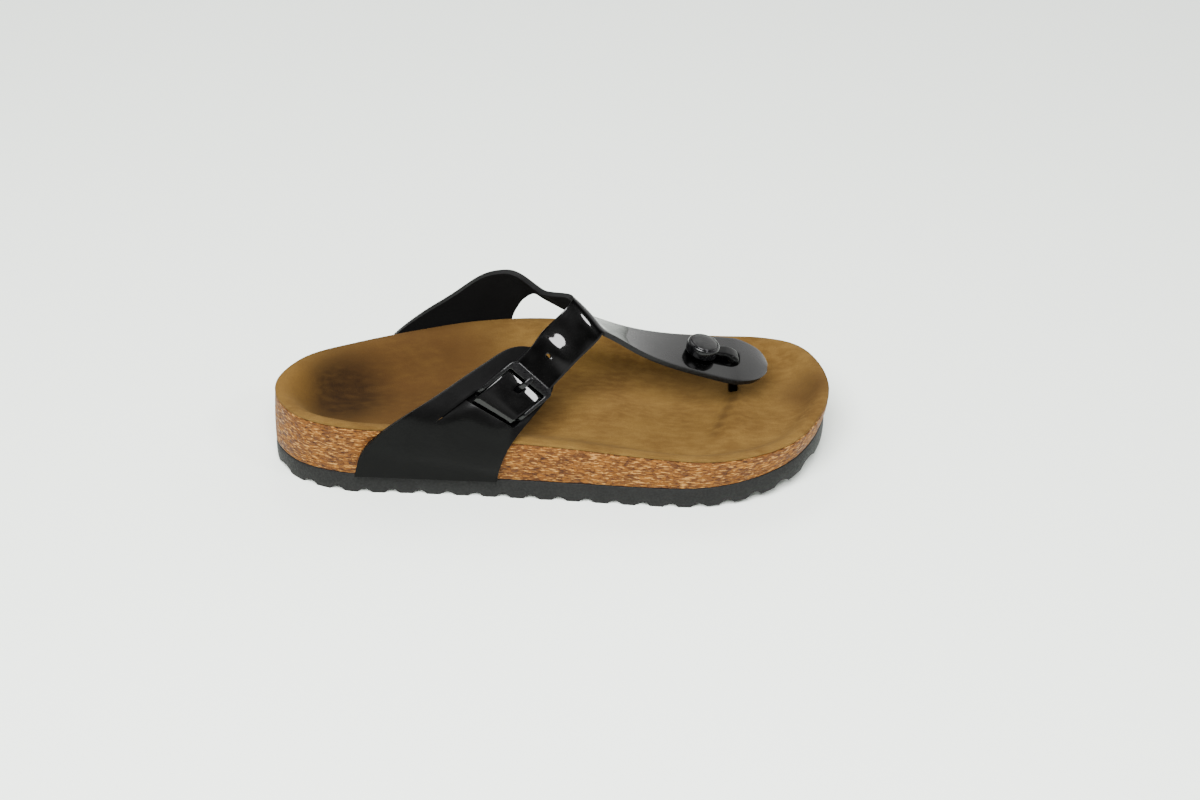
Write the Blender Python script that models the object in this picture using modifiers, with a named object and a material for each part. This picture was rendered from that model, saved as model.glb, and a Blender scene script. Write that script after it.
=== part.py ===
"""Toe post sandal for the right foot, at its real size, standing on its sole.

A moulded cork footbed with a raised rim sits on a foamed sole and carries a suede liner. The upper is
one T-shaped strap: a medial wing, a lateral strap and a tongue to the toes. The lateral strap runs
through a pin buckle and dives into a slot of the quarter. A post hangs from a rivet on the tongue.

+X points to the toes, +Y to the medial side, +Z up. Table sizes are in millimetres.
"""
import math
from collections import namedtuple

import bmesh
import bpy
import numpy as np
from mathutils import Vector

MM = 0.001
GAP = 0.3

# Sole and footbed sizes
SOLE_THICKNESS = 10.0
SPRING_START = 45.0
SPRING_LENGTH = 80.0
TOE_SPRING = 9.0
LINER_THICKNESS = 1.4
LINER_GAP = 0.45
OUTLINE_STEPS = 3
RING_SHARES = (1.0, 0.96, 0.91, 0.84, 0.74, 0.6, 0.41, 0.2)
SPINE_HEEL = -86.0
SPINE_TOE = 76.0
SPINE_SIDE = 2.0
WALL_SHELF = 2.2
WALL_POWER = 1.3
BED_STEPS = 8

# Rim of the footbed, round the sole from the heel: its height, how far the side wall leans in towards
# the sole, and how wide the wall of the bowl is.
Rim = namedtuple("Rim", "x y height lean wall")
RIM = (
    Rim(-124.1, 1.0, 37.0, -1.4, 20.0),
    Rim(-120.5, -11.5, 37.0, -1.0, 20.0),
    Rim(-110.0, -23.5, 37.0, 0.2, 20.0),
    Rim(-90.0, -31.5, 37.0, 1.0, 20.0),
    Rim(-62.0, -33.5, 35.5, 1.0, 19.0),
    Rim(-28.0, -36.5, 33.0, 1.0, 17.0),
    Rim(8.0, -40.3, 31.0, 1.0, 14.0),
    Rim(40.0, -44.6, 29.0, 1.5, 12.0),
    Rim(68.0, -46.9, 27.8, 2.0, 11.0),
    Rim(90.0, -42.6, 27.8, 2.0, 11.0),
    Rim(108.0, -32.5, 28.5, 2.0, 12.0),
    Rim(120.0, -16.0, 30.3, 2.0, 13.0),
    Rim(125.4, 4.0, 31.0, 2.0, 13.0),
    Rim(122.5, 25.0, 30.2, 2.0, 13.0),
    Rim(113.5, 40.5, 29.7, 2.0, 12.0),
    Rim(97.0, 46.7, 30.0, 2.0, 12.0),
    Rim(72.0, 46.3, 31.6, 3.0, 14.0),
    Rim(38.0, 44.0, 36.4, 5.0, 18.0),
    Rim(2.0, 43.0, 43.8, 6.0, 22.0),
    Rim(-32.0, 41.5, 44.0, 5.5, 22.0),
    Rim(-62.0, 37.8, 41.5, 4.0, 21.0),
    Rim(-90.0, 32.6, 38.5, 2.0, 20.0),
    Rim(-110.0, 25.2, 37.3, 0.4, 20.0),
    Rim(-120.5, 13.5, 37.0, -1.0, 20.0),
)

# Height of the footbed along its middle, above the floor
Bed = namedtuple("Bed", "x height")
BED = (
    Bed(-130.0, 24.0),
    Bed(-95.0, 21.5),
    Bed(-62.0, 22.5),
    Bed(-20.0, 26.0),
    Bed(18.0, 25.5),
    Bed(52.0, 22.0),
    Bed(80.0, 22.8),
    Bed(104.0, 23.6),
    Bed(130.0, 27.0),
)

# Swellings of the footbed: the arch, the pad behind the ball, the bar under the toes and its crease
Swell = namedtuple("Swell", "x y length width height turn_deg")
SWELLS = (
    Swell(-14.0, 34.0, 42.0, 15.0, 6.0, -4.0),
    Swell(20.0, -2.0, 20.0, 15.0, 2.0, 0.0),
    Swell(84.0, -4.0, 8.0, 26.0, 3.2, -13.0),
    Swell(73.0, -8.0, 3.0, 20.0, -0.7, -20.0),
)

# Tread of the sole
TREAD_PITCH = 12.4
TREAD_DEPTH = 2.2
TREAD_STEPS = 4
TREAD_COLUMNS = 8
TREAD_SWAY = 3.5
TREAD_WAVES = 2.0
TREAD_POWER = 0.7
SWAY_ROOM = 0.4
SOLE_STEPS = 4
END_STATIONS = (0.4, 1.4, 3.0, 5.4, 8.6)

# Straps
STRAP_THICKNESS = 2.3
FOOT_MIDDLE = (-10.0, 5.0, 40.0)
STRAP_SHARES = (0.0, 0.2, 0.41, 0.59, 0.8, 1.0)
STRAP_STEPS = 3
STRAP_CROWN = 0.6
TONGUE_CROWN = 0.7
QUARTER_COLUMNS = 7
QUARTER_STEPS = 4

# Edges of the lateral quarter on its outer face, from the sole up past its rounded end
Edges = namedtuple("Edges", "rear_x rear_y rear_z front_x front_y front_z")
QUARTER = (
    Edges(-87.5, -33.8, 10.6, -24.0, -38.7, 10.6),
    Edges(-84.0, -34.5, 23.0, -23.4, -39.0, 14.5),
    Edges(-76.5, -35.5, 33.0, -22.3, -40.1, 19.5),
    Edges(-63.0, -34.8, 44.0, -19.6, -41.0, 27.5),
    Edges(-49.0, -30.4, 52.0, -15.0, -39.8, 35.5),
    Edges(-34.5, -25.0, 60.0, -8.0, -33.5, 41.5),
    Edges(-20.0, -18.5, 67.0, 0.5, -25.5, 48.5),
    Edges(-7.0, -10.5, 73.0, 8.5, -17.0, 56.0),
)
QUARTER_END = 6.7
QUARTER_ROUND = 0.75
END_FLAT = 0.06
SIDE_SHARE = 0.05
SLOT_CLEAR = 0.4
SLOT_REAR_COLUMNS = 3
SLOT_FRONT_COLUMNS = 2

# Buckle and what lies in it, placed on the quarter: v runs down the strap from the buckle's middle,
# u across it to the front, and the lift out from the quarter's face
BUCKLE_STATION = 5.2
BUCKLE_SHARE = 0.585
BUCKLE_ROW = 15.4
BUCKLE_HALF_WIDTH = 11.5
BUCKLE_TOP = -12.8
BUCKLE_BOTTOM = 11.1
BUCKLE_CORNER = 3.4
WINDOW_HALF_WIDTH = 9.8
WINDOW_TOP = -8.4
WINDOW_BOTTOM = 9.3
WINDOW_CORNER = 1.0
BUCKLE_DEPTH = 1.9
BUCKLE_SIDE_STEPS = 5
BUCKLE_CORNER_STEPS = 4
STRAP_HALF_WIDTH = 9.4
Lift = namedtuple("Lift", "v lift")
FRAME_LIFTS = (
    Lift(-12.0, 5.4),
    Lift(-7.0, 5.3),
    Lift(0.0, 3.8),
    Lift(6.5, 2.3),
    Lift(9.5, -1.4),
    Lift(12.0, -1.7),
)
SEATS = (
    Lift(22.0, -0.6),
    Lift(18.8, -0.1),
    Lift(16.0, 0.3),
    Lift(13.8, 0.9),
    Lift(11.6, 3.2),
    Lift(7.0, 4.5),
    Lift(2.0, 5.0),
    Lift(-4.8, 4.3),
    Lift(-9.0, 3.4),
    Lift(-14.0, 2.9),
    Lift(-21.0, 3.0),
)
PIN_HOLE_SEATS = (6, 7)
PIN_HOLE_COLUMN = 2
PRONG = (
    Lift(8.7, 0.75),
    Lift(2.5, 1.3),
    Lift(-0.5, 2.6),
    Lift(-3.8, 5.4),
    Lift(-7.0, 7.2),
    Lift(-11.4, 7.2),
)
PRONG_WIDTH = 2.2
PRONG_DEPTH = 1.1
PRONG_STEPS = 3

# Slot of the quarter that takes the buckle's bar and the strap's end, and the flap raised over that end
SLOT_TOP = 6.8
SLOT_BOTTOM = 13.9
SLOT_HALF_WIDTH = 12.9
FLAP_LIFT = 4.6
FLAP_END = 34.0
FLAP_FLAT = 11.0
FLAP_SIDE = 16.0

# Edges of the T strap from the buckle over the instep to the medial side of the sole
WING = (
    Edges(-3.0, -12.2, 72.7, 10.2, -18.4, 59.0),
    Edges(3.6, -5.0, 75.9, 16.9, -11.5, 62.5),
    Edges(10.5, 2.2, 79.8, 24.2, -5.0, 66.7),
    Edges(5.0, 8.0, 79.7, 17.7, 5.5, 67.7),
    Edges(-2.1, 14.0, 77.3, 8.1, 16.0, 67.3),
    Edges(-6.4, 18.5, 77.8, -1.6, 25.0, 67.6),
    Edges(-12.6, 25.5, 78.8, -6.4, 30.2, 67.5),
    Edges(-19.4, 30.3, 78.4, -11.2, 34.8, 61.8),
    Edges(-31.0, 34.6, 73.3, -14.4, 39.5, 55.2),
    Edges(-45.3, 38.9, 60.2, -17.4, 44.3, 47.7),
    Edges(-60.0, 41.4, 48.5, -19.7, 46.0, 39.5),
    Edges(-74.0, 39.8, 37.0, -22.0, 44.0, 30.0),
    Edges(-84.0, 36.2, 23.0, -23.5, 41.2, 19.0),
    Edges(-88.0, 33.9, 10.6, -24.0, 39.2, 10.6),
)
TONGUE_ROOT = (2, 4)

# Edges of the tongue on its top face, from its root at the strap to its rounded tip
Tongue = namedtuple("Tongue", "lateral_x lateral_y lateral_z medial_x medial_y medial_z")
TONGUE = (
    Tongue(29.2, -3.5, 64.5, 20.8, 15.5, 62.4),
    Tongue(37.1, -5.5, 59.1, 31.0, 16.0, 56.0),
    Tongue(48.0, -7.0, 53.2, 45.0, 18.0, 51.8),
    Tongue(62.0, -7.6, 48.8, 62.0, 20.5, 48.8),
    Tongue(76.2, -7.8, 43.8, 76.6, 23.0, 45.9),
    Tongue(83.8, -7.0, 41.9, 84.9, 23.8, 43.9),
    Tongue(90.7, -3.6, 40.1, 92.8, 21.0, 41.2),
    Tongue(95.8, 2.6, 38.2, 97.0, 16.0, 38.9),
)
TONGUE_SHARES = (0.0, 0.18, 0.36, 0.5, 0.64, 0.82, 1.0)
TONGUE_STEPS = 2
SLOT_TONGUE_ROWS = (4, 5)
SLOT_TONGUE_COLUMNS = 3

# Toe post, as the middle line of its strip, and the rivet that holds it
POST_STEPS = 3
Post = namedtuple("Post", "x y z width thickness")
POST = (
    Post(63.0, 6.4, 51.0, 5.6, 2.4),
    Post(69.0, 6.9, 49.8, 5.8, 2.4),
    Post(75.0, 7.6, 48.2, 6.4, 2.4),
    Post(79.8, 8.2, 45.6, 7.2, 2.5),
    Post(81.8, 8.2, 41.4, 7.2, 2.6),
    Post(82.3, 8.2, 36.6, 6.8, 3.0),
    Post(82.6, 8.2, 25.8, 6.6, 3.6),
)
RIVET_X = 67.5
RIVET_BASE = 48.5
RIVET_SIDE = 6.8
RIVET_SLOPE_DEG = 15.0
RIVET_SEGMENTS = 32
RIVET_MERGE = 0.00001
Turn = namedtuple("Turn", "radius height")
RIVET_PROFILE = (
    Turn(0.0, 6.0),
    Turn(4.2, 5.85),
    Turn(5.8, 5.45),
    Turn(6.1, 5.1),
    Turn(6.4, 5.35),
    Turn(7.1, 4.95),
    Turn(7.5, 3.9),
    Turn(7.4, 0.9),
    Turn(6.9, 0.0),
    Turn(0.0, 0.0),
)
CHANNEL_HALF_WIDTH = 4.2
CHANNEL_REAR = -6.0
CHANNEL_FRONT = 9.0
CHANNEL_LOW = -1.5
CHANNEL_HIGH = 4.35

# Finishes
SHARP_ANGLE_DEG = 40.0
Finish = namedtuple("Finish", "colour roughness metallic")
CORK = Finish((0.34, 0.17, 0.08), 0.8, 0.0)
SUEDE = Finish((0.28, 0.16, 0.06), 0.9, 0.0)
FOAM = Finish((0.02, 0.02, 0.02), 0.8, 0.0)
PATENT = Finish((0.008, 0.008, 0.009), 0.3, 0.0)
LACQUER = Finish((0.01, 0.01, 0.011), 0.2, 0.6)


def spline_point(rows, position, closed=False):
    """Point of the smooth curve through the rows, at a position counted in rows."""
    count = len(rows)
    last = count if closed else count - 1
    index = min(int(position), last - 1)
    share = position - index

    def row(step):
        if closed:
            return rows[(index + step) % count]
        return rows[min(max(index + step, 0), count - 1)]

    before, start, end, after = (row(step) for step in (-1, 0, 1, 2))
    return 0.5 * (2 * start + (end - before) * share
                  + (2 * before - 5 * start + 4 * end - after) * share ** 2
                  + (3 * start - before - 3 * end + after) * share ** 3)


def spline(rows, steps, closed=False):
    """Smooth curve through the rows, with the given steps between two rows."""
    rows = np.asarray(rows, dtype=float)
    spans = len(rows) if closed else len(rows) - 1
    points = [spline_point(rows, i / steps, closed) for i in range(spans * steps)]
    if not closed:
        points.append(rows[-1])
    return np.array(points)


def smoothstep(value):
    value = np.clip(value, 0.0, 1.0)
    return value * value * (3.0 - 2.0 * value)


def toe_spring(x):
    """Rise of the sole towards the toes."""
    return TOE_SPRING * np.clip((x - SPRING_START) / SPRING_LENGTH, 0.0, None) ** 2


def bed_height(x, y):
    """Height of the footbed's middle, with its swellings, before the rim rises from it."""
    curve = spline(BED, BED_STEPS)
    height = np.interp(x, curve[:, 0], curve[:, 1])
    for swell in SWELLS:
        turn = math.radians(swell.turn_deg)
        along = (x - swell.x) * math.cos(turn) + (y - swell.y) * math.sin(turn)
        across = (y - swell.y) * math.cos(turn) - (x - swell.x) * math.sin(turn)
        height = height + swell.height * np.exp(-(along / swell.length) ** 2 - (across / swell.width) ** 2)
    return height


def outward(points):
    """Unit vectors in plan that point out of a closed outline run anticlockwise."""
    along = np.roll(points, -1, axis=0) - np.roll(points, 1, axis=0)
    normal = np.stack([along[:, 1], -along[:, 0]], axis=1)
    return normal / np.linalg.norm(normal, axis=1)[:, None]


def new_object(name, mesh_data, collection, finish):
    """Object from a bmesh, with its own material."""
    mesh = bpy.data.meshes.new(name)
    mesh_data.to_mesh(mesh)
    mesh_data.free()
    mesh.shade_smooth()
    mesh.set_sharp_from_angle(angle=math.radians(SHARP_ANGLE_DEG))
    thing = bpy.data.objects.new(name, mesh)
    collection.objects.link(thing)
    material = bpy.data.materials.new(name)
    material.use_nodes = True
    shader = material.node_tree.nodes["Principled BSDF"]
    shader.inputs["Base Color"].default_value = (*finish.colour, 1.0)
    shader.inputs["Roughness"].default_value = finish.roughness
    shader.inputs["Metallic"].default_value = finish.metallic
    mesh.materials.append(material)
    return thing


def add_verts(mesh_data, points):
    return [mesh_data.verts.new((p[0] * MM, p[1] * MM, p[2] * MM)) for p in points]


def add_strip(mesh_data, first, second, closed):
    """Quads between two rows of vertices."""
    count = len(first) if closed else len(first) - 1
    for i in range(count):
        j = (i + 1) % len(first)
        mesh_data.faces.new((first[i], first[j], second[j], second[i]))


def face_out(mesh_data):
    bmesh.ops.recalc_face_normals(mesh_data, faces=mesh_data.faces[:])


class Footbed:
    """Plan of the footbed as rings from the rim to a spine, with the heights of its layers."""

    def __init__(self):
        rim = spline(RIM, OUTLINE_STEPS, closed=True)
        self.edge = rim[:, :2]
        self.height = rim[:, 2]
        self.foot = self.edge - rim[:, 3:4] * outward(self.edge)
        self.wall = rim[:, 4]
        spine_x = np.clip(self.edge[:, 0], SPINE_HEEL, SPINE_TOE)
        self.spine = np.stack([spine_x, np.full_like(spine_x, SPINE_SIDE)], axis=1)

    def rings(self, outline):
        return [self.spine + share * (outline - self.spine) for share in RING_SHARES]

    def top(self, depth):
        """Rings of the footbed's upper surface, the given depth below the liner's face."""
        reach = np.linalg.norm(self.edge - self.spine, axis=1)
        rings = []
        for share, plan in zip(RING_SHARES, self.rings(self.edge)):
            inside = (1.0 - share) * reach
            rise = 1.0 - smoothstep((inside - WALL_SHELF) / self.wall)
            bed = bed_height(plan[:, 0], plan[:, 1])
            height = bed + (self.height - bed) * rise ** WALL_POWER - depth
            rings.append(np.column_stack([plan, height]))
        return rings

    def bottom(self):
        """Rings of the footbed's underside, on the sole."""
        return [np.column_stack([plan, SOLE_THICKNESS + GAP + toe_spring(plan[:, 0])])
                for plan in self.rings(self.foot)]


def layer(name, lower, upper, collection, finish):
    """Closed solid between two sets of rings with the same plan of faces."""
    solid = bmesh.new()
    rims = []
    for rings in (lower, upper):
        rows = [add_verts(solid, ring) for ring in rings]
        for outer, inner in zip(rows, rows[1:]):
            for i in range(len(outer)):
                j = (i + 1) % len(outer)
                solid.faces.new((outer[i], outer[j], inner[j]))
                solid.faces.new((outer[i], inner[j], inner[i]))
        count = len(rows[-1])
        for i in range(count // 2 - 1):
            last = rows[-1]
            solid.faces.new((last[i], last[i + 1], last[count - 1 - i]))
            solid.faces.new((last[i + 1], last[count - 2 - i], last[count - 1 - i]))
        rims.append(rows[0])
    add_strip(solid, rims[0], rims[1], closed=True)
    face_out(solid)
    return new_object(name, solid, collection, finish)


def side_at(outline, x):
    """Lateral and medial side of a closed outline at a place along the sole."""
    heel = int(np.argmin(outline[:, 0]))
    turned = np.roll(outline, -heel, axis=0)
    toe = int(np.argmax(turned[:, 0]))
    lateral = turned[:toe + 1]
    medial = np.vstack([turned[toe:], turned[:1]])[::-1]
    return np.interp(x, lateral[:, 0], lateral[:, 1]), np.interp(x, medial[:, 0], medial[:, 1])


def sole_stations(heel, toe):
    """Places along the sole: close together round its ends, four to each rib between them."""
    step = TREAD_PITCH / TREAD_STEPS
    inner = np.arange(heel + END_STATIONS[-1] + step, toe - END_STATIONS[-1] - 0.5 * step, step)
    ends = np.array(END_STATIONS)
    return np.concatenate([heel + ends, inner, (toe - ends)[::-1]])


def tread_depth(x):
    """Depth of the groove at a place along the sole; half of each pitch is a flat rib."""
    phase = (x / TREAD_PITCH) % 1.0
    return TREAD_DEPTH * max(0.0, math.sin(2.0 * math.pi * phase)) ** TREAD_POWER


def build_sole(footbed, collection):
    outline = spline(footbed.foot, SOLE_STEPS, closed=True)
    stations = sole_stations(outline[:, 0].min(), outline[:, 0].max())
    solid = bmesh.new()
    sections = []
    for x in stations:
        lateral, medial = side_at(outline, x)
        shares = np.linspace(0.0, 1.0, TREAD_COLUMNS + 1)
        y = lateral + shares * (medial - lateral)
        end_room = min(x - stations[0], stations[-1] - x)
        sway = min(TREAD_SWAY, SWAY_ROOM * end_room) * np.sin(np.pi * shares)
        sway = sway * np.sin(TREAD_WAVES * 2.0 * np.pi * shares)
        level = np.full_like(y, x)
        top = np.column_stack([level, y, SOLE_THICKNESS + toe_spring(level)])
        bottom = np.column_stack([x + sway, y, tread_depth(x) + toe_spring(x + sway)])
        sections.append(add_verts(solid, np.vstack([top, bottom[::-1]])))
    for first, second in zip(sections, sections[1:]):
        add_strip(solid, first, second, closed=True)
    solid.faces.new(sections[0])
    solid.faces.new(sections[-1])
    face_out(solid)
    return new_object("outsole", solid, collection, FOAM)


def across(row, shares, crown, out):
    """Points across a strap from its first edge to its second, raised in the middle."""
    shares = np.array(shares)[:, None]
    points = row[:3] + shares * (row[3:] - row[:3])
    return points + crown * 4.0 * shares * (1.0 - shares) * out


def quarter_point(station, share):
    """Point between the quarter's edges, at a station counted in rows of its table."""
    row = spline_point(np.array(QUARTER), station)
    return row[:3] + share * (row[3:] - row[:3])


def quarter_frame(station, share):
    """Point of the quarter's face with its directions across to the front and outwards."""
    small = 0.02
    cross = quarter_point(station, share + small) - quarter_point(station, share - small)
    along = quarter_point(station + small, share) - quarter_point(station - small, share)
    out = np.cross(cross, along)
    return quarter_point(station, share), cross / np.linalg.norm(cross), out / np.linalg.norm(out)


def quarter_place(u, v):
    """Station and share of the quarter at a place of the buckle."""
    station = BUCKLE_STATION - v / BUCKLE_ROW
    width = np.linalg.norm(quarter_point(station, 1.0) - quarter_point(station, 0.0))
    return station, BUCKLE_SHARE + u / width


def over_quarter(u, v, lift):
    """Point above the quarter, in the buckle's directions."""
    point, _, out = quarter_frame(*quarter_place(u, v))
    return point + lift * out


def flap_lift(station, share):
    """Height of the flap that the strap's end raises below the slot."""
    width = np.linalg.norm(quarter_point(station, 1.0) - quarter_point(station, 0.0))
    u = abs(share - BUCKLE_SHARE) * width
    v = (BUCKLE_STATION - station) * BUCKLE_ROW
    if v < 0.5 * (SLOT_TOP + SLOT_BOTTOM):
        return 0.0
    along = 1.0 - smoothstep((v - SLOT_BOTTOM) / (FLAP_END - SLOT_BOTTOM))
    return FLAP_LIFT * along * (1.0 - smoothstep((u - FLAP_FLAT) / (FLAP_SIDE - FLAP_FLAT)))


def shell(name, surface, collection):
    """Strap from an open surface that is its outer face, away from the middle of the foot."""
    loose = [vert for vert in surface.verts if not vert.link_faces]
    bmesh.ops.delete(surface, geom=loose, context="VERTS")
    face_out(surface)
    foot = Vector(FOOT_MIDDLE) * MM
    facing = 0.0
    for face in surface.faces:
        facing += (face.calc_center_median() - foot).dot(face.normal) * face.calc_area()
    if facing < 0.0:
        bmesh.ops.reverse_faces(surface, faces=surface.faces[:])
    strap = new_object(name, surface, collection, PATENT)
    solidify = strap.modifiers.new("thickness", "SOLIDIFY")
    solidify.thickness = STRAP_THICKNESS * MM
    solidify.offset = -1.0
    solidify.use_even_offset = True
    return strap


def quarter_shares(station):
    """Columns across the quarter, with one at each side of the slot and drawn in to a round end."""
    rounding = max(0.0, (station - (QUARTER_END - QUARTER_ROUND)) / QUARTER_ROUND)
    half = 0.5 * math.sqrt(max(1.0 - rounding ** 2, END_FLAT))
    first, last = 0.5 - half, 0.5 + half
    slot_v = 0.5 * (SLOT_TOP + SLOT_BOTTOM)
    slot_first = max(quarter_place(-SLOT_HALF_WIDTH, slot_v)[1], first + SIDE_SHARE * (last - first))
    slot_last = min(quarter_place(SLOT_HALF_WIDTH, slot_v)[1], last - SIDE_SHARE * (last - first))
    return [first, 0.5 * (first + slot_first), *np.linspace(slot_first, slot_last, QUARTER_COLUMNS), last]


def build_quarter(collection):
    slot_rows = [quarter_place(0.0, v)[0] for v in (SLOT_BOTTOM, SLOT_TOP)]
    even = np.linspace(0.0, QUARTER_END, int(QUARTER_END * QUARTER_STEPS) + 1)
    clear = SLOT_CLEAR / QUARTER_STEPS
    stations = [s for s in even if s < slot_rows[0] - clear or s > slot_rows[1] + clear]
    stations = sorted(stations + slot_rows)
    surface = bmesh.new()
    rows = []
    for station in stations:
        points = []
        for share in quarter_shares(station):
            point, _, out = quarter_frame(station, share)
            points.append(point + flap_lift(station, share) * out)
        rows.append(add_verts(surface, points))
    for station, first, second in zip(stations, rows, rows[1:]):
        if station == slot_rows[0]:
            rear, front = SLOT_REAR_COLUMNS, -SLOT_FRONT_COLUMNS
            add_strip(surface, first[:rear], second[:rear], closed=False)
            add_strip(surface, first[front:], second[front:], closed=False)
        else:
            add_strip(surface, first, second, closed=False)
    return shell("lateral_quarter", surface, collection)


def strap_rows():
    """Edges of the T strap: through the buckle, then over the instep to the medial side."""
    seats = [np.concatenate([over_quarter(-STRAP_HALF_WIDTH, seat.v, seat.lift),
                             over_quarter(STRAP_HALF_WIDTH, seat.v, seat.lift)]) for seat in SEATS]
    return np.vstack([np.array(seats), np.array(WING)])


def row_out(rows, index):
    """Outward direction of a strap at a row."""
    before = rows[max(index - 1, 0)]
    after = rows[min(index + 1, len(rows) - 1)]
    along = (after[:3] + after[3:]) - (before[:3] + before[3:])
    out = np.cross(rows[index][3:] - rows[index][:3], along)
    return out / np.linalg.norm(out)


def add_cross_strap(surface, rows):
    """Lateral strap and medial wing, flat in the buckle and crowned beyond it."""
    strap = []
    for i, row in enumerate(rows):
        crown = STRAP_CROWN * smoothstep(i / STRAP_STEPS - len(SEATS) + 1)
        strap.append(add_verts(surface, across(row, STRAP_SHARES, crown, row_out(rows, i))))
    hole_start, hole_end = (STRAP_STEPS * index for index in PIN_HOLE_SEATS)
    for i, (first, second) in enumerate(zip(strap, strap[1:])):
        if hole_start <= i < hole_end:
            add_strip(surface, first[:PIN_HOLE_COLUMN + 1], second[:PIN_HOLE_COLUMN + 1], closed=False)
            add_strip(surface, first[PIN_HOLE_COLUMN + 1:], second[PIN_HOLE_COLUMN + 1:], closed=False)
        else:
            add_strip(surface, first, second, closed=False)
    return strap


def add_tongue(surface, root, root_row):
    """Tongue from its root on the strap's front edge to its tip, with the slot for the post."""
    edges = spline(np.vstack([root_row, np.array(TONGUE)]), TONGUE_STEPS)[1:]
    slot_first, slot_last = (TONGUE_STEPS * (index + 1) - 1 for index in SLOT_TONGUE_ROWS)
    up = np.array([0.0, 0.0, 1.0])
    previous = root
    for i, row in enumerate(edges):
        current = add_verts(surface, across(row, TONGUE_SHARES, TONGUE_CROWN, up))
        if slot_first < i <= slot_last:
            side = SLOT_TONGUE_COLUMNS
            add_strip(surface, previous[:side], current[:side], closed=False)
            add_strip(surface, previous[-side:], current[-side:], closed=False)
        else:
            add_strip(surface, previous, current, closed=False)
        previous = current


def add_box(points_low, points_high):
    """Closed bar between two loops of points."""
    solid = bmesh.new()
    low = add_verts(solid, points_low)
    high = add_verts(solid, points_high)
    add_strip(solid, low, high, closed=True)
    solid.faces.new(low)
    solid.faces.new(high)
    face_out(solid)
    return solid


def cut(thing, solid, name, cutters):
    """Takes a solid away from an object; gives back the solid, to be placed."""
    cutter = new_object(name, solid, cutters, LACQUER)
    cutter.hide_render = True
    cutter.display_type = "WIRE"
    boolean = thing.modifiers.new(name, "BOOLEAN")
    boolean.operation = "DIFFERENCE"
    boolean.object = cutter
    return cutter


def build_upper(collection):
    surface = bmesh.new()
    rows = spline(strap_rows(), STRAP_STEPS)
    strap = add_cross_strap(surface, rows)
    start, end = (STRAP_STEPS * (len(SEATS) + index) for index in TONGUE_ROOT)
    root = [row[-1] for row in strap[start:end + 1]]
    add_tongue(surface, root, np.concatenate([rows[start][3:], rows[end][3:]]))
    return shell("t_strap_upper", surface, collection)


def round_loop(half_width, top, bottom, corner):
    """Rectangle with round corners, in the buckle's directions, from its lower front corner."""
    centres = ((1, bottom - corner, 0.0), (-1, bottom - corner, 90.0),
               (-1, top + corner, 180.0), (1, top + corner, 270.0))
    loop = []
    for side, v, start in centres:
        for i in range(BUCKLE_CORNER_STEPS + 1):
            angle = math.radians(start + 90.0 * i / BUCKLE_CORNER_STEPS)
            u = side * (half_width - corner) + corner * math.cos(angle)
            loop.append((u, v + corner * math.sin(angle)))
    return loop


def with_sides(loop):
    """Loop with the straight sides between its corners divided."""
    per_corner = BUCKLE_CORNER_STEPS + 1
    points = []
    for i, (u, v) in enumerate(loop):
        points.append((u, v))
        if (i + 1) % per_corner == 0:
            next_u, next_v = loop[(i + 1) % len(loop)]
            for step in range(1, BUCKLE_SIDE_STEPS):
                share = step / BUCKLE_SIDE_STEPS
                points.append((u + share * (next_u - u), v + share * (next_v - v)))
    return points


def table_lift(table, v):
    return float(np.interp(v, [row.v for row in table], [row.lift for row in table]))


def build_buckle(collection):
    """Frame with a wide top bar over the strap and a lower bar in the quarter's slot."""
    outer = with_sides(round_loop(BUCKLE_HALF_WIDTH, BUCKLE_TOP, BUCKLE_BOTTOM, BUCKLE_CORNER))
    inner = with_sides(round_loop(WINDOW_HALF_WIDTH, WINDOW_TOP, WINDOW_BOTTOM, WINDOW_CORNER))
    solid = bmesh.new()
    rings = []
    for loop, side in ((outer, 0.5), (inner, 0.5), (inner, -0.5), (outer, -0.5)):
        points = [over_quarter(u, v, table_lift(FRAME_LIFTS, v) + side * BUCKLE_DEPTH) for u, v in loop]
        rings.append(add_verts(solid, points))
    for first, second in zip(rings, rings[1:] + rings[:1]):
        add_strip(solid, first, second, closed=True)
    face_out(solid)
    return new_object("buckle_frame", solid, collection, LACQUER)


def strip(name, centres, across_dirs, widths, thicknesses, collection, finish):
    """Flat bar along a line of points."""
    solid = bmesh.new()
    sections = []
    for i, centre in enumerate(centres):
        along = centres[min(i + 1, len(centres) - 1)] - centres[max(i - 1, 0)]
        side = 0.5 * widths[i] * across_dirs[i]
        out = np.cross(across_dirs[i], along)
        out = 0.5 * thicknesses[i] * out / np.linalg.norm(out)
        sections.append(add_verts(solid, [centre - side - out, centre + side - out,
                                          centre + side + out, centre - side + out]))
    for first, second in zip(sections, sections[1:]):
        add_strip(solid, first, second, closed=True)
    solid.faces.new(sections[0])
    solid.faces.new(sections[-1])
    face_out(solid)
    return new_object(name, solid, collection, finish)


def build_prong(collection):
    rows = spline(PRONG, PRONG_STEPS)
    centres = [over_quarter(0.0, v, lift) for v, lift in rows]
    sides = [quarter_frame(*quarter_place(0.0, v))[1] for v, _ in rows]
    widths = [PRONG_WIDTH] * len(rows)
    depths = [PRONG_DEPTH] * len(rows)
    return strip("buckle_prong", centres, sides, widths, depths, collection, LACQUER)


def build_post(collection):
    rows = spline(POST, POST_STEPS)
    sides = [np.array([0.0, 1.0, 0.0])] * len(rows)
    return strip("toe_post", rows[:, :3], sides, rows[:, 3], rows[:, 4], collection, PATENT)


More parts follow.
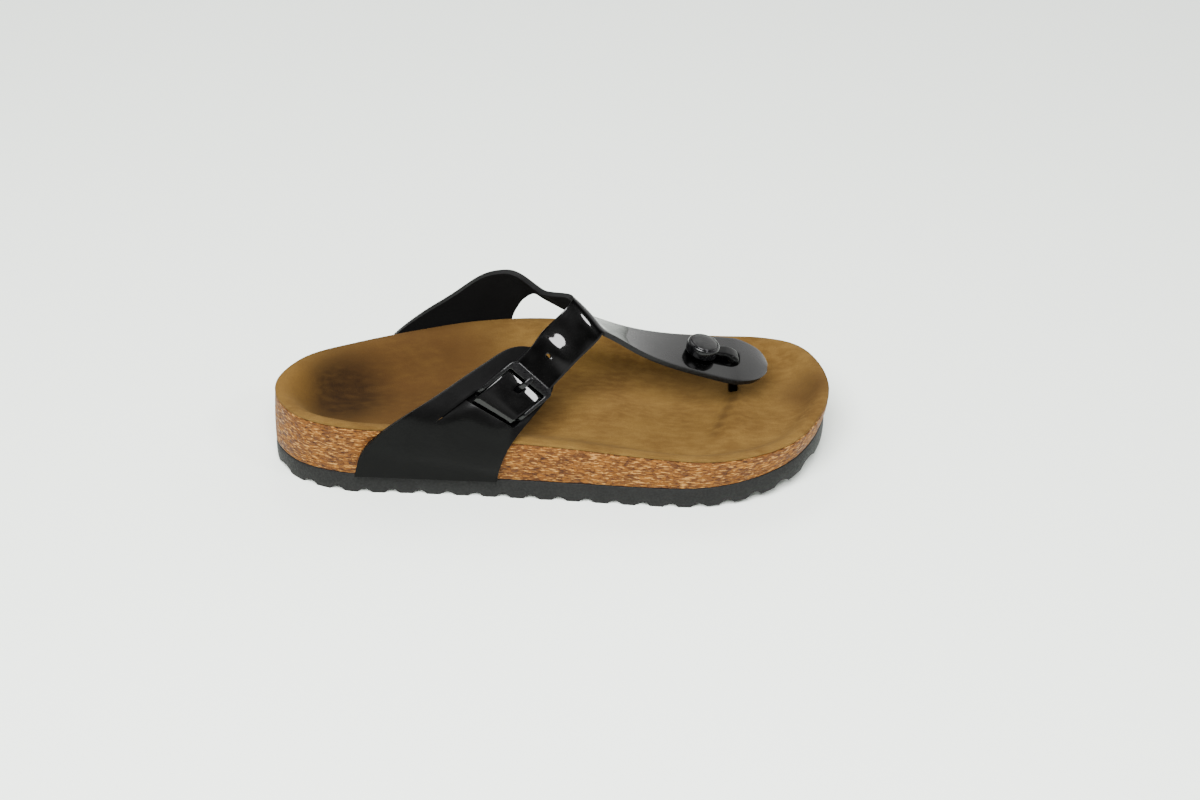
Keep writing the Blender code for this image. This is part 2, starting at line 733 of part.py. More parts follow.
def build_rivet(collection, cutters):
    """Turned cap over the end of the post, with a channel that the post runs out of."""
    profile = bmesh.new()
    verts = add_verts(profile, [(row.radius, 0.0, row.height) for row in RIVET_PROFILE])
    for first, second in zip(verts, verts[1:]):
        profile.edges.new((first, second))
    rivet = new_object("rivet_cap", profile, collection, LACQUER)
    rivet.location = (RIVET_X * MM, RIVET_SIDE * MM, RIVET_BASE * MM)
    rivet.rotation_euler.y = math.radians(RIVET_SLOPE_DEG)
    screw = rivet.modifiers.new("turned", "SCREW")
    screw.axis = "Z"
    screw.steps = RIVET_SEGMENTS
    screw.render_steps = RIVET_SEGMENTS
    screw.use_merge_vertices = True
    screw.merge_threshold = RIVET_MERGE
    half = CHANNEL_HALF_WIDTH
    corners = [(CHANNEL_REAR, -half), (CHANNEL_FRONT, -half), (CHANNEL_FRONT, half), (CHANNEL_REAR, half)]
    channel = add_box([(x, y, CHANNEL_LOW) for x, y in corners], [(x, y, CHANNEL_HIGH) for x, y in corners])
    cutter = cut(rivet, channel, "rivet_channel", cutters)
    cutter.location = rivet.location
    cutter.rotation_euler = rivet.rotation_euler
    return rivet


def clear_scene():
    for thing in list(bpy.data.objects):
        bpy.data.objects.remove(thing, do_unlink=True)


def main():
    clear_scene()
    sandal = bpy.data.collections.new("toe_post_sandal")
    cutters = bpy.data.collections.new("cutters")
    bpy.context.scene.collection.children.link(sandal)
    bpy.context.scene.collection.children.link(cutters)
    footbed = Footbed()
    build_sole(footbed, sandal)
    liner_depth = LINER_THICKNESS + LINER_GAP
    layer("cork_footbed", footbed.bottom(), footbed.top(liner_depth), sandal, CORK)
    layer("footbed_liner", footbed.top(LINER_THICKNESS), footbed.top(0.0), sandal, SUEDE)
    build_quarter(sandal)
    build_upper(sandal)
    build_buckle(sandal)
    build_prong(sandal)
    build_post(sandal)
    build_rivet(sandal, cutters)


main()
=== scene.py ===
"""Looks of the toe post sandal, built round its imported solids.

The tables start from the part's own sizes, in millimetres; the fold, the tongue and the post follow the
photo more closely. The pieces are finer skins with rounded edges, and each rides on the one body.
"""
import math
from collections import namedtuple

import bmesh
import bpy
import numpy as np
from mathutils import Matrix, Vector


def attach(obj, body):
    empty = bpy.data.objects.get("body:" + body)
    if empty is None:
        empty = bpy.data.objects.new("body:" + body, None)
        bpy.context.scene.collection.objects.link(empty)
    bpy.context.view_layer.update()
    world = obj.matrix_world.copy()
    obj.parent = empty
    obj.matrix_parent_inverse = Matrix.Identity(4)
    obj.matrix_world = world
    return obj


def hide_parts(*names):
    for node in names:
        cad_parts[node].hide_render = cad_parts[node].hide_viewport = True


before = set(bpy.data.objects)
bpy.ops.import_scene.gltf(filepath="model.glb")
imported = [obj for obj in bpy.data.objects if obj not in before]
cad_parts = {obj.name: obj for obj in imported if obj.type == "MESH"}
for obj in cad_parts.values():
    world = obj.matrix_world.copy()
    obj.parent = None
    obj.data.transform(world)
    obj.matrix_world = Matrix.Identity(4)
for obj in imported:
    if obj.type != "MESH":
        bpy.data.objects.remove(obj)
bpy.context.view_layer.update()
MM = 0.001
UP = np.array((0.0, 0.0, 1.0))
MEDIAL = np.array((0.0, 1.0, 0.0))


def table(columns, *rows):
    """Rows of a table whose columns have names."""
    row_kind = namedtuple("Row", columns)
    return tuple(row_kind(*row) for row in rows)


# Photograph and camera: the aim point shows at AIM_PIXEL of the photo
PHOTO_WIDTH = 1200.0
PHOTO_HEIGHT = 800.0
FOCAL_PIXELS = 2420.0
SENSOR_WIDTH = 36.0
CAMERA_ELEVATION = 35.0
CAMERA_ROLL = -0.5
CAMERA_DISTANCE = 1100.0
AIM = (0.0, 5.0, 20.0)
AIM_PIXEL = (552.0, 407.5)

# Sole and footbed
GAP = 0.3
SOLE_THICKNESS = 10.0
SPRING_START = 45.0
SPRING_LENGTH = 80.0
TOE_SPRING = 9.0
LINER_THICKNESS = 1.4
LINER_GAP = 0.45
SPINE_HEEL = -86.0
SPINE_TOE = 76.0
SPINE_SIDE = 2.0
WALL_SHELF = 2.2
WALL_POWER = 1.3

RIM = table(
    "x y height lean wall",
    (-124.1, 1.0, 37.0, -1.4, 20.0),
    (-120.5, -11.5, 37.0, -1.0, 20.0),
    (-110.0, -23.5, 37.0, 0.2, 20.0),
    (-90.0, -31.5, 37.0, 1.0, 20.0),
    (-62.0, -33.5, 35.5, 1.0, 19.0),
    (-28.0, -36.5, 33.0, 1.0, 17.0),
    (8.0, -40.3, 31.0, 1.0, 14.0),
    (40.0, -44.6, 29.0, 1.5, 12.0),
    (68.0, -46.9, 27.8, 2.0, 11.0),
    (90.0, -42.6, 27.8, 2.0, 11.0),
    (108.0, -32.5, 28.5, 2.0, 12.0),
    (120.0, -16.0, 30.3, 2.0, 13.0),
    (125.4, 4.0, 31.0, 2.0, 13.0),
    (122.5, 25.0, 30.2, 2.0, 13.0),
    (113.5, 40.5, 29.7, 2.0, 12.0),
    (97.0, 46.7, 30.0, 2.0, 12.0),
    (72.0, 46.3, 31.6, 3.0, 14.0),
    (38.0, 44.0, 36.4, 5.0, 18.0),
    (2.0, 43.0, 43.8, 6.0, 22.0),
    (-32.0, 41.5, 44.0, 5.5, 22.0),
    (-62.0, 37.8, 41.5, 4.0, 21.0),
    (-90.0, 32.6, 38.5, 2.0, 20.0),
    (-110.0, 25.2, 37.3, 0.4, 20.0),
    (-120.5, 13.5, 37.0, -1.0, 20.0),
)

BED = table(
    "x height",
    (-130.0, 24.0),
    (-95.0, 21.5),
    (-62.0, 22.5),
    (-20.0, 26.0),
    (18.0, 25.5),
    (52.0, 22.0),
    (80.0, 22.8),
    (104.0, 23.6),
    (130.0, 27.0),
)

SWELLS = table(
    "x y length width height turn_deg",
    (-14.0, 34.0, 42.0, 15.0, 6.0, -4.0),
    (20.0, -2.0, 20.0, 15.0, 2.0, 0.0),
    (84.0, -4.0, 8.0, 26.0, 3.2, -13.0),
    (73.0, -8.0, 3.0, 20.0, -0.7, -20.0),
)

TREAD_PITCH = 12.4
TREAD_DEPTH = 2.2
TREAD_SWAY = 3.5
TREAD_WAVES = 2.0
TREAD_POWER = 0.7
SWAY_ROOM = 0.4

# Straps
STRAP_THICKNESS = 2.3
FOOT_MIDDLE = (-10.0, 5.0, 40.0)
STRAP_SHARES = (0.0, 0.2, 0.41, 0.59, 0.8, 1.0)
STRAP_STEPS = 3
STRAP_CROWN = 0.6
TONGUE_CROWN = 0.7
QUARTER_COLUMNS = 7
QUARTER_STEPS = 4

EDGES = "rear_x rear_y rear_z front_x front_y front_z"
QUARTER = table(
    EDGES,
    (-87.5, -33.8, 10.6, -24.0, -38.7, 10.6),
    (-84.0, -34.5, 23.0, -23.4, -39.0, 14.5),
    (-76.5, -35.5, 33.0, -22.3, -40.1, 19.5),
    (-63.0, -34.8, 44.0, -19.6, -41.0, 27.5),
    (-49.0, -30.4, 52.0, -15.0, -39.8, 35.5),
    (-34.5, -25.0, 60.0, -8.0, -33.5, 41.5),
    (-20.0, -18.5, 67.0, 0.5, -25.5, 48.5),
    (-7.0, -10.5, 73.0, 8.5, -17.0, 56.0),
)
QUARTER_END = 6.7
QUARTER_ROUND = 0.75
END_FLAT = 0.06
SIDE_SHARE = 0.05
QuarterRow = namedtuple("QuarterRow", "rear front")

# Buckle: v runs down the strap from its middle, u across it to the front, lift out of the quarter
BUCKLE_STATION = 5.2
BUCKLE_SHARE = 0.585
BUCKLE_ROW = 15.4
Loop = namedtuple("Loop", "half_width top bottom corner")
BUCKLE_OUTSIDE = Loop(11.5, -12.8, 11.1, 3.4)
BUCKLE_WINDOW = Loop(9.8, -8.4, 9.3, 1.0)
BUCKLE_DEPTH = 1.9
STRAP_HALF_WIDTH = 9.4
LIFTS = "v lift"
FRAME_LIFTS = table(
    LIFTS,
    (-12.0, 5.4),
    (-7.0, 5.3),
    (0.0, 3.8),
    (6.5, 2.3),
    (9.5, -1.4),
    (12.0, -1.7),
)
SEATS = table(
    LIFTS,
    (22.0, -1.2),
    (18.8, -0.9),
    (16.0, -0.5),
    (13.8, 0.2),
    (11.6, 3.1),
    (7.0, 4.5),
    (-1.6, 4.8),
    (-6.0, 4.1),
    (-9.5, 3.3),
    (-14.0, 2.9),
    (-21.0, 3.0),
)
PIN_HOLE_SEATS = (6, 7)
PIN_HOLE_COLUMN = 2
PRONG = table(
    LIFTS,
    (8.7, 0.75),
    (3.0, 1.1),
    (-1.4, 1.5),
    (-3.6, 3.2),
    (-5.2, 5.6),
    (-7.6, 7.2),
    (-11.6, 7.3),
)
PRONG_WIDTH = 2.2
PRONG_DEPTH = 1.1
SLOT_TOP = 6.8
SLOT_BOTTOM = 13.9
SLOT_MIDDLE = 0.5 * (SLOT_TOP + SLOT_BOTTOM)
SLOT_HALF_WIDTH = 11.8
FLAP_LIFT = 2.6
FLAP_END = 34.0
FLAP_FLAT = 8.0
FLAP_SIDE = 15.0

# Wing and tongue
WING = table(
    EDGES,
    (-3.0, -12.2, 72.7, 10.2, -18.4, 59.0),
    (3.6, -5.0, 75.9, 16.9, -11.5, 62.5),
    (13.4, 1.8, 82.6, 26.4, -5.6, 69.1),
    (5.0, 8.0, 79.7, 17.7, 5.5, 67.7),
    (-2.1, 14.0, 77.3, 8.1, 16.0, 67.3),
    (-6.4, 18.5, 77.8, -1.6, 25.0, 67.6),
    (-12.6, 25.5, 78.8, -6.4, 30.2, 67.5),
    (-19.4, 30.3, 78.4, -11.2, 34.8, 61.8),
    (-31.0, 34.6, 73.3, -14.4, 39.5, 55.2),
    (-45.3, 38.9, 60.2, -17.4, 44.3, 47.7),
    (-60.0, 41.4, 48.5, -19.7, 46.0, 39.5),
    (-74.0, 39.8, 37.0, -22.0, 44.0, 30.0),
    (-84.0, 36.2, 23.0, -23.5, 41.2, 19.0),
    (-88.0, 33.9, 10.6, -24.0, 39.2, 10.6),
)
TONGUE_ROOT = (2, 4)
TONGUE = table(
    "lateral_x lateral_y lateral_z medial_x medial_y medial_z",
    (29.8, -3.6, 64.5, 20.8, 15.5, 61.7),
    (37.1, -5.5, 59.1, 31.4, 16.0, 57.0),
    (48.0, -7.0, 53.2, 45.0, 18.0, 51.8),
    (62.0, -7.6, 48.8, 62.0, 20.5, 48.8),
    (79.2, -7.6, 43.1, 79.6, 23.4, 45.2),
    (84.4, -6.8, 41.75, 85.5, 23.8, 43.75),
    (90.7, -3.6, 40.1, 92.8, 21.0, 41.2),
    (94.8, 1.0, 38.7, 96.2, 17.4, 39.4),
    (97.2, 6.0, 37.7, 97.8, 12.6, 38.1),
)
TONGUE_SHARES = (0.0, 0.18, 0.36, 0.5, 0.64, 0.82, 1.0)
TONGUE_STEPS = 2
SLOT_TONGUE_ROWS = (4, 5)
SLOT_SIDE_COLUMNS = 3

# Toe post and rivet
POST = table(
    "x y z width thickness",
    (63.0, 6.4, 51.0, 5.6, 2.4),
    (69.0, 6.9, 49.8, 5.8, 2.4),
    (75.0, 7.6, 48.2, 6.4, 2.4),
    (79.0, 8.2, 47.2, 7.0, 2.6),
    (81.9, 8.0, 44.6, 7.9, 4.6),
    (82.0, 8.5, 40.6, 7.9, 5.0),
    (82.2, 9.8, 36.6, 7.2, 4.4),
    (82.4, 13.0, 24.6, 6.8, 4.4),
)
RIVET_BASE = (67.5, 6.8, 48.5)
RIVET_SLOPE_DEG = 15.0
RIVET_PROFILE = table(
    "radius height",
    (0.0, 6.0),
    (2.4, 5.97),
    (4.2, 5.86),
    (5.3, 5.66),
    (5.8, 5.45),
    (6.1, 5.1),
    (6.4, 5.35),
    (6.8, 5.22),
    (7.15, 4.85),
    (7.42, 4.2),
    (7.5, 3.4),
    (7.45, 1.1),
    (7.25, 0.35),
    (6.85, 0.0),
    (0.0, 0.0),
)
RIVET_SEGMENTS = 96
DISC_RADIUS = 5.6
DISC_BASE = 5.0
CHANNEL_LOW = (-6.0, -4.2, -1.5)
CHANNEL_HIGH = (9.0, 4.2, 4.35)

# Slit beside the flap, lining behind the slot and slit (a dark sheet for the painted shade seen through
# them) and spare pin hole, in the buckle's directions
SLIT_COLUMN = 2
SLIT_HALF_WIDTH = 0.22
SLIT_END = 28.5
LINING_TOP = 4.5
LINING_TURN = 18.5
LINING_BOTTOM = 28.0
LINING_REAR = -16.5
LINING_FRONT = 12.6
LINING_TAIL = -8.0
LINING_LIFT = -3.55
LINING_THICKNESS = 0.6
LINING_ROWS = 9
LINING_COLUMNS = 8
FREE_HOLE_PLACE = (-1.3, -22.7)
FREE_HOLE_LIFT = 3.0
FREE_HOLE_RADIUS = 1.15
FREE_HOLE_DEPTH = 12.0
FREE_HOLE_SEGMENTS = 24

# Softness of bends and edges
BEND_PASSES = 4
BEND_ROWS = 4
BEND_TONGUE_ROWS = 4
STRAP_BEVEL = 0.75
BEVEL_SEGMENTS = 3
BEVEL_ANGLE = 50.0
SOLE_ROUND = 0.5
SOLE_TOP_ROUND = 0.4
SOLE_BULGE = 0.25
CORK_ROUND = 0.5
CORK_BULGE = 0.3
LINER_ROUND = 0.8

# Fineness of the skins
OUTLINE_STEPS = 26
EDGE_INSETS = (0.0, 0.1, 0.25, 0.5, 0.85, 1.3, 2.0, 2.9, 4.0, 5.4, 7.0)
INNER_SHARES = np.linspace(1.0, 0.06, 26)
WALL_ROWS = 14
STRAP_LEVELS = 2
SLOT_CLEAR = 0.4
CORNER_STEPS = 8
SIDE_STEPS = 10
LIFT_STEPS = 8
BAR_STEPS = 8
SECTION_POWER = 5.0
SECTION_POINTS = 28
END_POINT = 0.08
LINER_WALL_ROWS = 3
BED_STEPS = 8
FRAME_STEP = 0.02

# Colours, linear
FOAM_DARK = (0.0013, 0.0013, 0.00125)
FOAM_LIGHT = (0.003, 0.003, 0.0029)
FOAM_SPECK = (0.01, 0.01, 0.0096)
CORK_DARK = (0.052, 0.0165, 0.0025)
CORK_MIDDLE = (0.112, 0.039, 0.0058)
CORK_LIGHT = (0.185, 0.072, 0.0125)
CORK_PALE = (0.37, 0.185, 0.048)
CORK_SEAM = (0.03, 0.009, 0.002)
CORK_BARK = (0.016, 0.005, 0.0015)
SUEDE_DARK = (0.078, 0.041, 0.0095)
SUEDE_LIGHT = (0.117, 0.066, 0.016)
SUEDE_NAP = (0.155, 0.091, 0.025)
SUEDE_DEEP = (0.035, 0.015, 0.0035)
FELT_DARK = (0.0006, 0.0006, 0.0006)
FELT_LIGHT = (0.002, 0.002, 0.002)
EDGE_DARK = (0.001, 0.001, 0.001)
EDGE_LIGHT = (0.003, 0.003, 0.003)
FLOOR_DARK = (0.87, 0.925, 0.86)
FLOOR_LIGHT = (0.9, 0.95, 0.89)

# Finishes of the coated and metal pieces
Patent = namedtuple("Patent", "name colour roughness coat coat_roughness")
STRAP_PATENT = Patent("strap patent", (0.0002, 0.0002, 0.0002), 0.3, 0.55, 0.04)
QUARTER_PATENT = Patent("quarter patent", (0.0009, 0.0009, 0.0009), 0.4, 0.06, 0.2)
POST_PATENT = Patent("post patent", (0.0002, 0.0002, 0.0002), 0.4, 0.15, 0.2)
PATENT_CLOUD = 1.6
PATENT_ROUGH = (0.85, 1.15)
Metal = namedtuple("Metal", "name dark light roughness coat")
BUCKLE_LACQUER = Metal("buckle lacquer", (0.0012, 0.0012, 0.0014), (0.003, 0.003, 0.0034), 0.28, 0.25)
# Satin top disc of the rivet, made paler to paint the reflection of the light on the cap's top
RIVET_TOP_SHEEN = Metal("rivet top sheen", (0.01, 0.01, 0.01), (0.02, 0.02, 0.02), 0.45, 0.1)
METAL_SHARE = 0.5
METAL_ROUGH = (0.8, 1.3)

# Shine of the surfaces
FOAM_SPECULAR = 0.25
CORK_SPECULAR = 0.12
SUEDE_SPECULAR = 0.1
PATENT_SPECULAR = 0.04
FELT_SPECULAR = 0.05
EDGE_SPECULAR = 0.2
METAL_SPECULAR = 0.25

# Grain that runs one way, and the stretches of a noise that a change of colour or shine uses
Grain = namedtuple("Grain", "turn_deg scale")
CRUMB_GRAIN = Grain((18.0, 28.0, 12.0), (1.0, 1.0, 1.9))
CRUMB_SIZE = 3.1
FLECK_GRAIN = Grain((0.0, 34.0, 0.0), (0.55, 0.8, 2.4))
SWEPT_GRAIN = Grain((0.0, 0.0, 20.0), (0.35, 1.0, 1.0))
SCRATCH_GRAIN = Grain((0.0, 25.0, 35.0), (0.15, 1.0, 1.0))
MOST_NOISE = (0.3, 0.7)
UPPER_NOISE = (0.35, 0.7)

# Sockets of a mix node that mixes colours
MIX_SHARE = 0
MIX_FIRST = 6
MIX_SECOND = 7
MIX_RESULT = 2

# Places where the suede is darker or paler, as distances from points on the footbed; the five crease
# spots are painted shade in the toe-grip crease
# Brown of the painted shade in the hollow of the toe-grip crease
CREASE_SHADE = (0.016, 0.006, 0.0018)
SPOT_UNEVEN = 0.75
SUEDE_SPOTS = table(
    "x y z inner outer share colour",
    (-60.0, 18.0, 28.0, 16.0, 62.0, 0.85, (0.034, 0.0145, 0.0038)),
    (-97.0, 12.0, 22.0, 8.0, 32.0, 0.95, (0.006, 0.0025, 0.0008)),
    (-122.0, 4.0, 34.0, 6.0, 24.0, 0.5, (0.1, 0.05, 0.0095)),
    (115.0, 8.0, 29.0, 4.0, 20.0, 0.6, (0.02, 0.008, 0.0025)),
    # Painted shade along the toe-grip crease, in front of the toe bar
    (81.5, 3.0, 26.0, 1.0, 4.5, 0.5, CREASE_SHADE),
    (79.0, -3.0, 26.0, 1.0, 4.5, 0.5, CREASE_SHADE),
    (76.5, -9.0, 26.0, 1.0, 4.5, 0.5, CREASE_SHADE),
    (74.0, -15.0, 25.8, 1.0, 4.5, 0.55, CREASE_SHADE),
    (71.8, -21.0, 25.5, 1.0, 4.5, 0.4, CREASE_SHADE),
)

# Lights: softboxes aimed at a height over the middle of the floor, in metres and watts
SOFTBOXES = table(
    "name x y z aim_height width height power",
    ("top light", -0.15, -0.75, 1.1, 0.03, 1.0, 0.8, 60.0),
    ("left light", -0.75, 0.35, 1.1, 0.03, 0.6, 0.6, 3.0),
    ("back light", -0.05, 0.8, 1.2, 0.03, 0.6, 0.6, 6.0),
    ("right lamp", 0.93, -0.65, 1.13, 0.055, 0.24, 0.24, 8.0),
)

# Room: bright behind the sandal and at its right, dimmer in front and at its left, dark ceiling.
# The fades are stretches of a direction's z, z, y and x
ROOM_COLOUR = (1.0, 1.0, 0.985)
ROOM_BACK = 1.75
ROOM_FRONT = 1.0
ROOM_CEILING = 0.008
ROOM_LEFT = 0.55
ROOM_RIGHT = 1.5
FRONT_FADE = (0.42, 0.52)
BACK_FADE = (0.6, 0.85)
DEPTH_FADE = (-0.1, 0.5)
SIDE_FADE = (-0.2, 0.65)
FLOOR_SIZE = 8.0


def spline_point(rows, position, closed=False):
    """Point of the smooth curve through the rows, at a position counted in rows."""
    count = len(rows)
    last = count if closed else count - 1
    index = min(int(position), last - 1)
    share = position - index

    def row(step):
        if closed:
            return rows[(index + step) % count]
        return rows[min(max(index + step, 0), count - 1)]

    before, start, end, after = (row(step) for step in (-1, 0, 1, 2))
    return 0.5 * (2 * start + (end - before) * share
                  + (2 * before - 5 * start + 4 * end - after) * share ** 2
                  + (3 * start - before - 3 * end + after) * share ** 3)


def spline(rows, steps, closed=False):
    """Smooth curve through the rows, with the given steps between two rows."""
    rows = np.asarray(rows, dtype=float)
    spans = len(rows) if closed else len(rows) - 1
    points = [spline_point(rows, i / steps, closed) for i in range(spans * steps)]
    if not closed:
        points.append(rows[-1])
    return np.array(points)


def smoothstep(value):
    value = np.clip(value, 0.0, 1.0)
    return value * value * (3.0 - 2.0 * value)


def unit(vector):
    return vector / np.linalg.norm(vector)


def toe_spring(x):
    """Rise of the sole towards the toes."""
    return TOE_SPRING * np.clip((x - SPRING_START) / SPRING_LENGTH, 0.0, None) ** 2


BED_CURVE = spline(BED, BED_STEPS)


def bed_height(x, y):
    """Height of the footbed's middle, with its swellings, before the rim rises from it."""
    height = np.interp(x, BED_CURVE[:, 0], BED_CURVE[:, 1])
    for swell in SWELLS:
        turn = math.radians(swell.turn_deg)
        along = (x - swell.x) * math.cos(turn) + (y - swell.y) * math.sin(turn)
        aside = (y - swell.y) * math.cos(turn) - (x - swell.x) * math.sin(turn)
        fading = np.exp(-(along / swell.length) ** 2 - (aside / swell.width) ** 2)
        height = height + swell.height * fading
    return height


def outward(points):
    """Unit vectors in plan that point out of a closed outline run anticlockwise."""
    along = np.roll(points, -1, axis=0) - np.roll(points, 1, axis=0)
    normal = np.stack([along[:, 1], -along[:, 0]], axis=1)
    return normal / np.linalg.norm(normal, axis=1)[:, None]


def add_verts(mesh_data, points):
    return [mesh_data.verts.new((p[0] * MM, p[1] * MM, p[2] * MM)) for p in points]


def add_strip(mesh_data, first, second, closed=False):
    """Quads between two rows of vertices."""
    count = len(first) if closed else len(first) - 1
    for i in range(count):
        j = (i + 1) % len(first)
        mesh_data.faces.new((first[i], first[j], second[j], second[i]))


def add_strips(mesh_data, rows, closed=False):
    """Quads between each row of vertices and the next."""
    for first, second in zip(rows, rows[1:]):
        add_strip(mesh_data, first, second, closed)


def face_out(mesh_data):
    bmesh.ops.recalc_face_normals(mesh_data, faces=mesh_data.faces[:])


def new_object(name, mesh_data, materials):
    """Smooth object from a bmesh."""
    mesh = bpy.data.meshes.new(name)
    mesh_data.to_mesh(mesh)
    mesh_data.free()
    mesh.shade_smooth()
    for material in materials:
        mesh.materials.append(material)
    thing = bpy.data.objects.new(name, mesh)
    bpy.context.scene.collection.objects.link(thing)
    return thing


def settle(thing):
    """Turns an object's modifiers into its mesh."""
    graph = bpy.context.evaluated_depsgraph_get()
    mesh = bpy.data.meshes.new_from_object(thing.evaluated_get(graph), depsgraph=graph)
    thing.modifiers.clear()
    thing.data = mesh


def cut(thing, solid, place):
    """Takes a solid away from an object for good."""
    cutter = new_object("cutter", solid, ())
    cutter.matrix_world = place
    boolean = thing.modifiers.new("cut", "BOOLEAN")
    boolean.operation = "DIFFERENCE"
    boolean.solver = "EXACT"
    boolean.object = cutter
    settle(thing)
    bpy.data.objects.remove(cutter, do_unlink=True)


def box_solid(low, high):
    solid = bmesh.new()
    corners = bmesh.ops.create_cube(solid, size=1.0)["verts"]
    low, high = Vector(low) * MM, Vector(high) * MM
    for vert in corners:
        vert.co = [a + (c + 0.5) * (b - a) for a, b, c in zip(low, high, vert.co)]
    return solid


def stand_for(thing, node):
    """The piece rides with the sandal in place of its plain solid."""
    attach(thing, "root")
    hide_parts(node)
    return thing


def edge_drop(inset, radius):
    """Depth of a rounded edge at a distance in from it."""
    near_edge = np.clip(radius - inset, 0.0, None)
    return radius - np.sqrt(np.clip(radius ** 2 - near_edge ** 2, 0.0, None))


class Footbed:
    """Plan of the footbed as rings from the rim to a spine, with the heights of its layers."""

    def __init__(self):
        rim = spline(RIM, OUTLINE_STEPS, closed=True)
        self.edge = rim[:, :2]
        self.height = rim[:, 2]
        self.foot = self.edge - rim[:, 3:4] * outward(self.edge)
        self.wall = rim[:, 4]
        spine_x = np.clip(self.edge[:, 0], SPINE_HEEL, SPINE_TOE)
        self.spine = np.stack([spine_x, np.full_like(spine_x, SPINE_SIDE)], axis=1)
        self.reach = np.linalg.norm(self.edge - self.spine, axis=1)

    def insets(self):
        """Distances in from the edge for each ring, close together at the edge."""
        start = EDGE_INSETS[-1]
        even = [self.reach - share * (self.reach - start) for share in INNER_SHARES[1:]]
        return [np.full_like(self.reach, inset) for inset in EDGE_INSETS] + even

    def plan(self, outline, inset):
        share = 1.0 - inset / self.reach
        return self.spine + share[:, None] * (outline - self.spine)

    def top(self, depth, radius):
        """Rings of the upper surface, a depth below the liner's face, with a rounded edge."""
        rings = []
        for inset in self.insets():
            plan = self.plan(self.edge, inset)
            rise = 1.0 - smoothstep((inset - WALL_SHELF) / self.wall)
            bed = bed_height(plan[:, 0], plan[:, 1])
            height = bed + (self.height - bed) * rise ** WALL_POWER - depth - edge_drop(inset, radius)
            rings.append(np.column_stack([plan, height]))
        return rings

    def flat(self, outline, height_of):
        """Rings over an outline at heights worked out from the plan."""
        rings = []
        for inset in self.insets():
            plan = self.plan(outline, inset)
            rings.append(np.column_stack([plan, height_of(plan)]))
        return rings


def layer(name, lower, upper, wall, materials):
    """Closed skin between lower and upper rings, joined by the rings of its wall."""
    solid = bmesh.new()
    rims = []
    for rings in (lower, upper):
        rows = [add_verts(solid, ring) for ring in rings]
        add_strips(solid, rows, closed=True)
        last = rows[-1]
        count = len(last)
        for i in range(count // 2 - 1):
            solid.faces.new((last[i], last[i + 1], last[count - 2 - i], last[count - 1 - i]))
        rims.append(rows[0])
    walls = [rims[0], *(add_verts(solid, ring) for ring in wall), rims[1]]
    add_strips(solid, walls, closed=True)
    face_out(solid)
    return new_object(name, solid, materials)


def wall_rings(low, high, rows, bulge, out):
    """Rings between two outlines, pushed out in the middle."""
    rings = []
    for i in range(1, rows):
        share = i / rows
        ring = low + share * (high - low)
        ring[:, :2] += bulge * 4.0 * share * (1.0 - share) * out
        rings.append(ring)
    return rings


def sides_at(outline, x):
    """Lateral and medial side of a closed outline at places along the sole."""
    heel = int(np.argmin(outline[:, 0]))
    turned = np.roll(outline, -heel, axis=0)
    toe = int(np.argmax(turned[:, 0]))
    lateral = turned[:toe + 1]
    medial = np.vstack([turned[toe:], turned[:1]])[::-1]
    return np.interp(x, lateral[:, 0], lateral[:, 1]), np.interp(x, medial[:, 0], medial[:, 1])


def tread_height(outline, plan):
    """Height of the sole's underside: wavy ribs with rounded grooves between them."""
    x = plan[:, 0]
    lateral, medial = sides_at(outline, x)
    share = np.clip((plan[:, 1] - lateral) / np.maximum(medial - lateral, 1.0), 0.0, 1.0)
    end_room = np.minimum(x - outline[:, 0].min(), outline[:, 0].max() - x)
    sway = np.minimum(TREAD_SWAY, SWAY_ROOM * end_room)
    sway = sway * np.sin(TREAD_WAVES * 2.0 * np.pi * share) * np.sin(np.pi * share)
    wave = np.sin(2.0 * np.pi * (x - sway) / TREAD_PITCH)
    return TREAD_DEPTH * np.clip(wave, 0.0, None) ** TREAD_POWER + toe_spring(x)


def edge_round(footbed, rings, radius, side):
    """Rounds the edge of a set of rings, upwards or downwards."""
    for inset, ring in zip(footbed.insets(), rings):
        ring[:, 2] += side * edge_drop(inset, radius)
    return rings


def build_outsole(footbed, materials):
    foot = footbed.foot
    bottom = footbed.flat(foot, lambda plan: tread_height(foot, plan))
    top = footbed.flat(foot, lambda plan: SOLE_THICKNESS + toe_spring(plan[:, 0]))
    bottom = edge_round(footbed, bottom, SOLE_ROUND, 1.0)
    top = edge_round(footbed, top, SOLE_TOP_ROUND, -1.0)
    wall = wall_rings(bottom[0], top[0], WALL_ROWS, SOLE_BULGE, outward(foot))
    sole = layer("sole", bottom, top, wall, materials)
    return stand_for(sole, "outsole")


def build_cork(footbed, materials):
    depth = LINER_THICKNESS + LINER_GAP
    bottom = footbed.flat(footbed.foot, lambda plan: SOLE_THICKNESS + GAP + toe_spring(plan[:, 0]))
    bottom = edge_round(footbed, bottom, CORK_ROUND, 1.0)
    top = footbed.top(depth, CORK_ROUND)
    wall = wall_rings(bottom[0], top[0], 2 * WALL_ROWS, CORK_BULGE, outward(footbed.foot))
    cork = layer("cork", bottom, top, wall, materials)
    return stand_for(cork, "cork_footbed")


def build_liner(footbed, materials):
    upper = footbed.top(0.0, LINER_ROUND)
    lower = footbed.top(LINER_THICKNESS, 0.0)
    wall = wall_rings(lower[0], upper[0], LINER_WALL_ROWS, 0.0, outward(footbed.edge))
    liner = layer("liner", lower, upper, wall, materials)
    return stand_for(liner, "footbed_liner")


def across(row, shares, crown, out):
    """Points across a strap from its first edge to its second, raised in the middle."""
    shares = np.array(shares)[:, None]
    points = row[:3] + shares * (row[3:] - row[:3])
    return points + crown * 4.0 * shares * (1.0 - shares) * out


def quarter_point(station, share):
    """Point between the quarter's edges, at a station counted in rows of its table."""
    row = spline_point(np.array(QUARTER), station)
    return row[:3] + share * (row[3:] - row[:3])


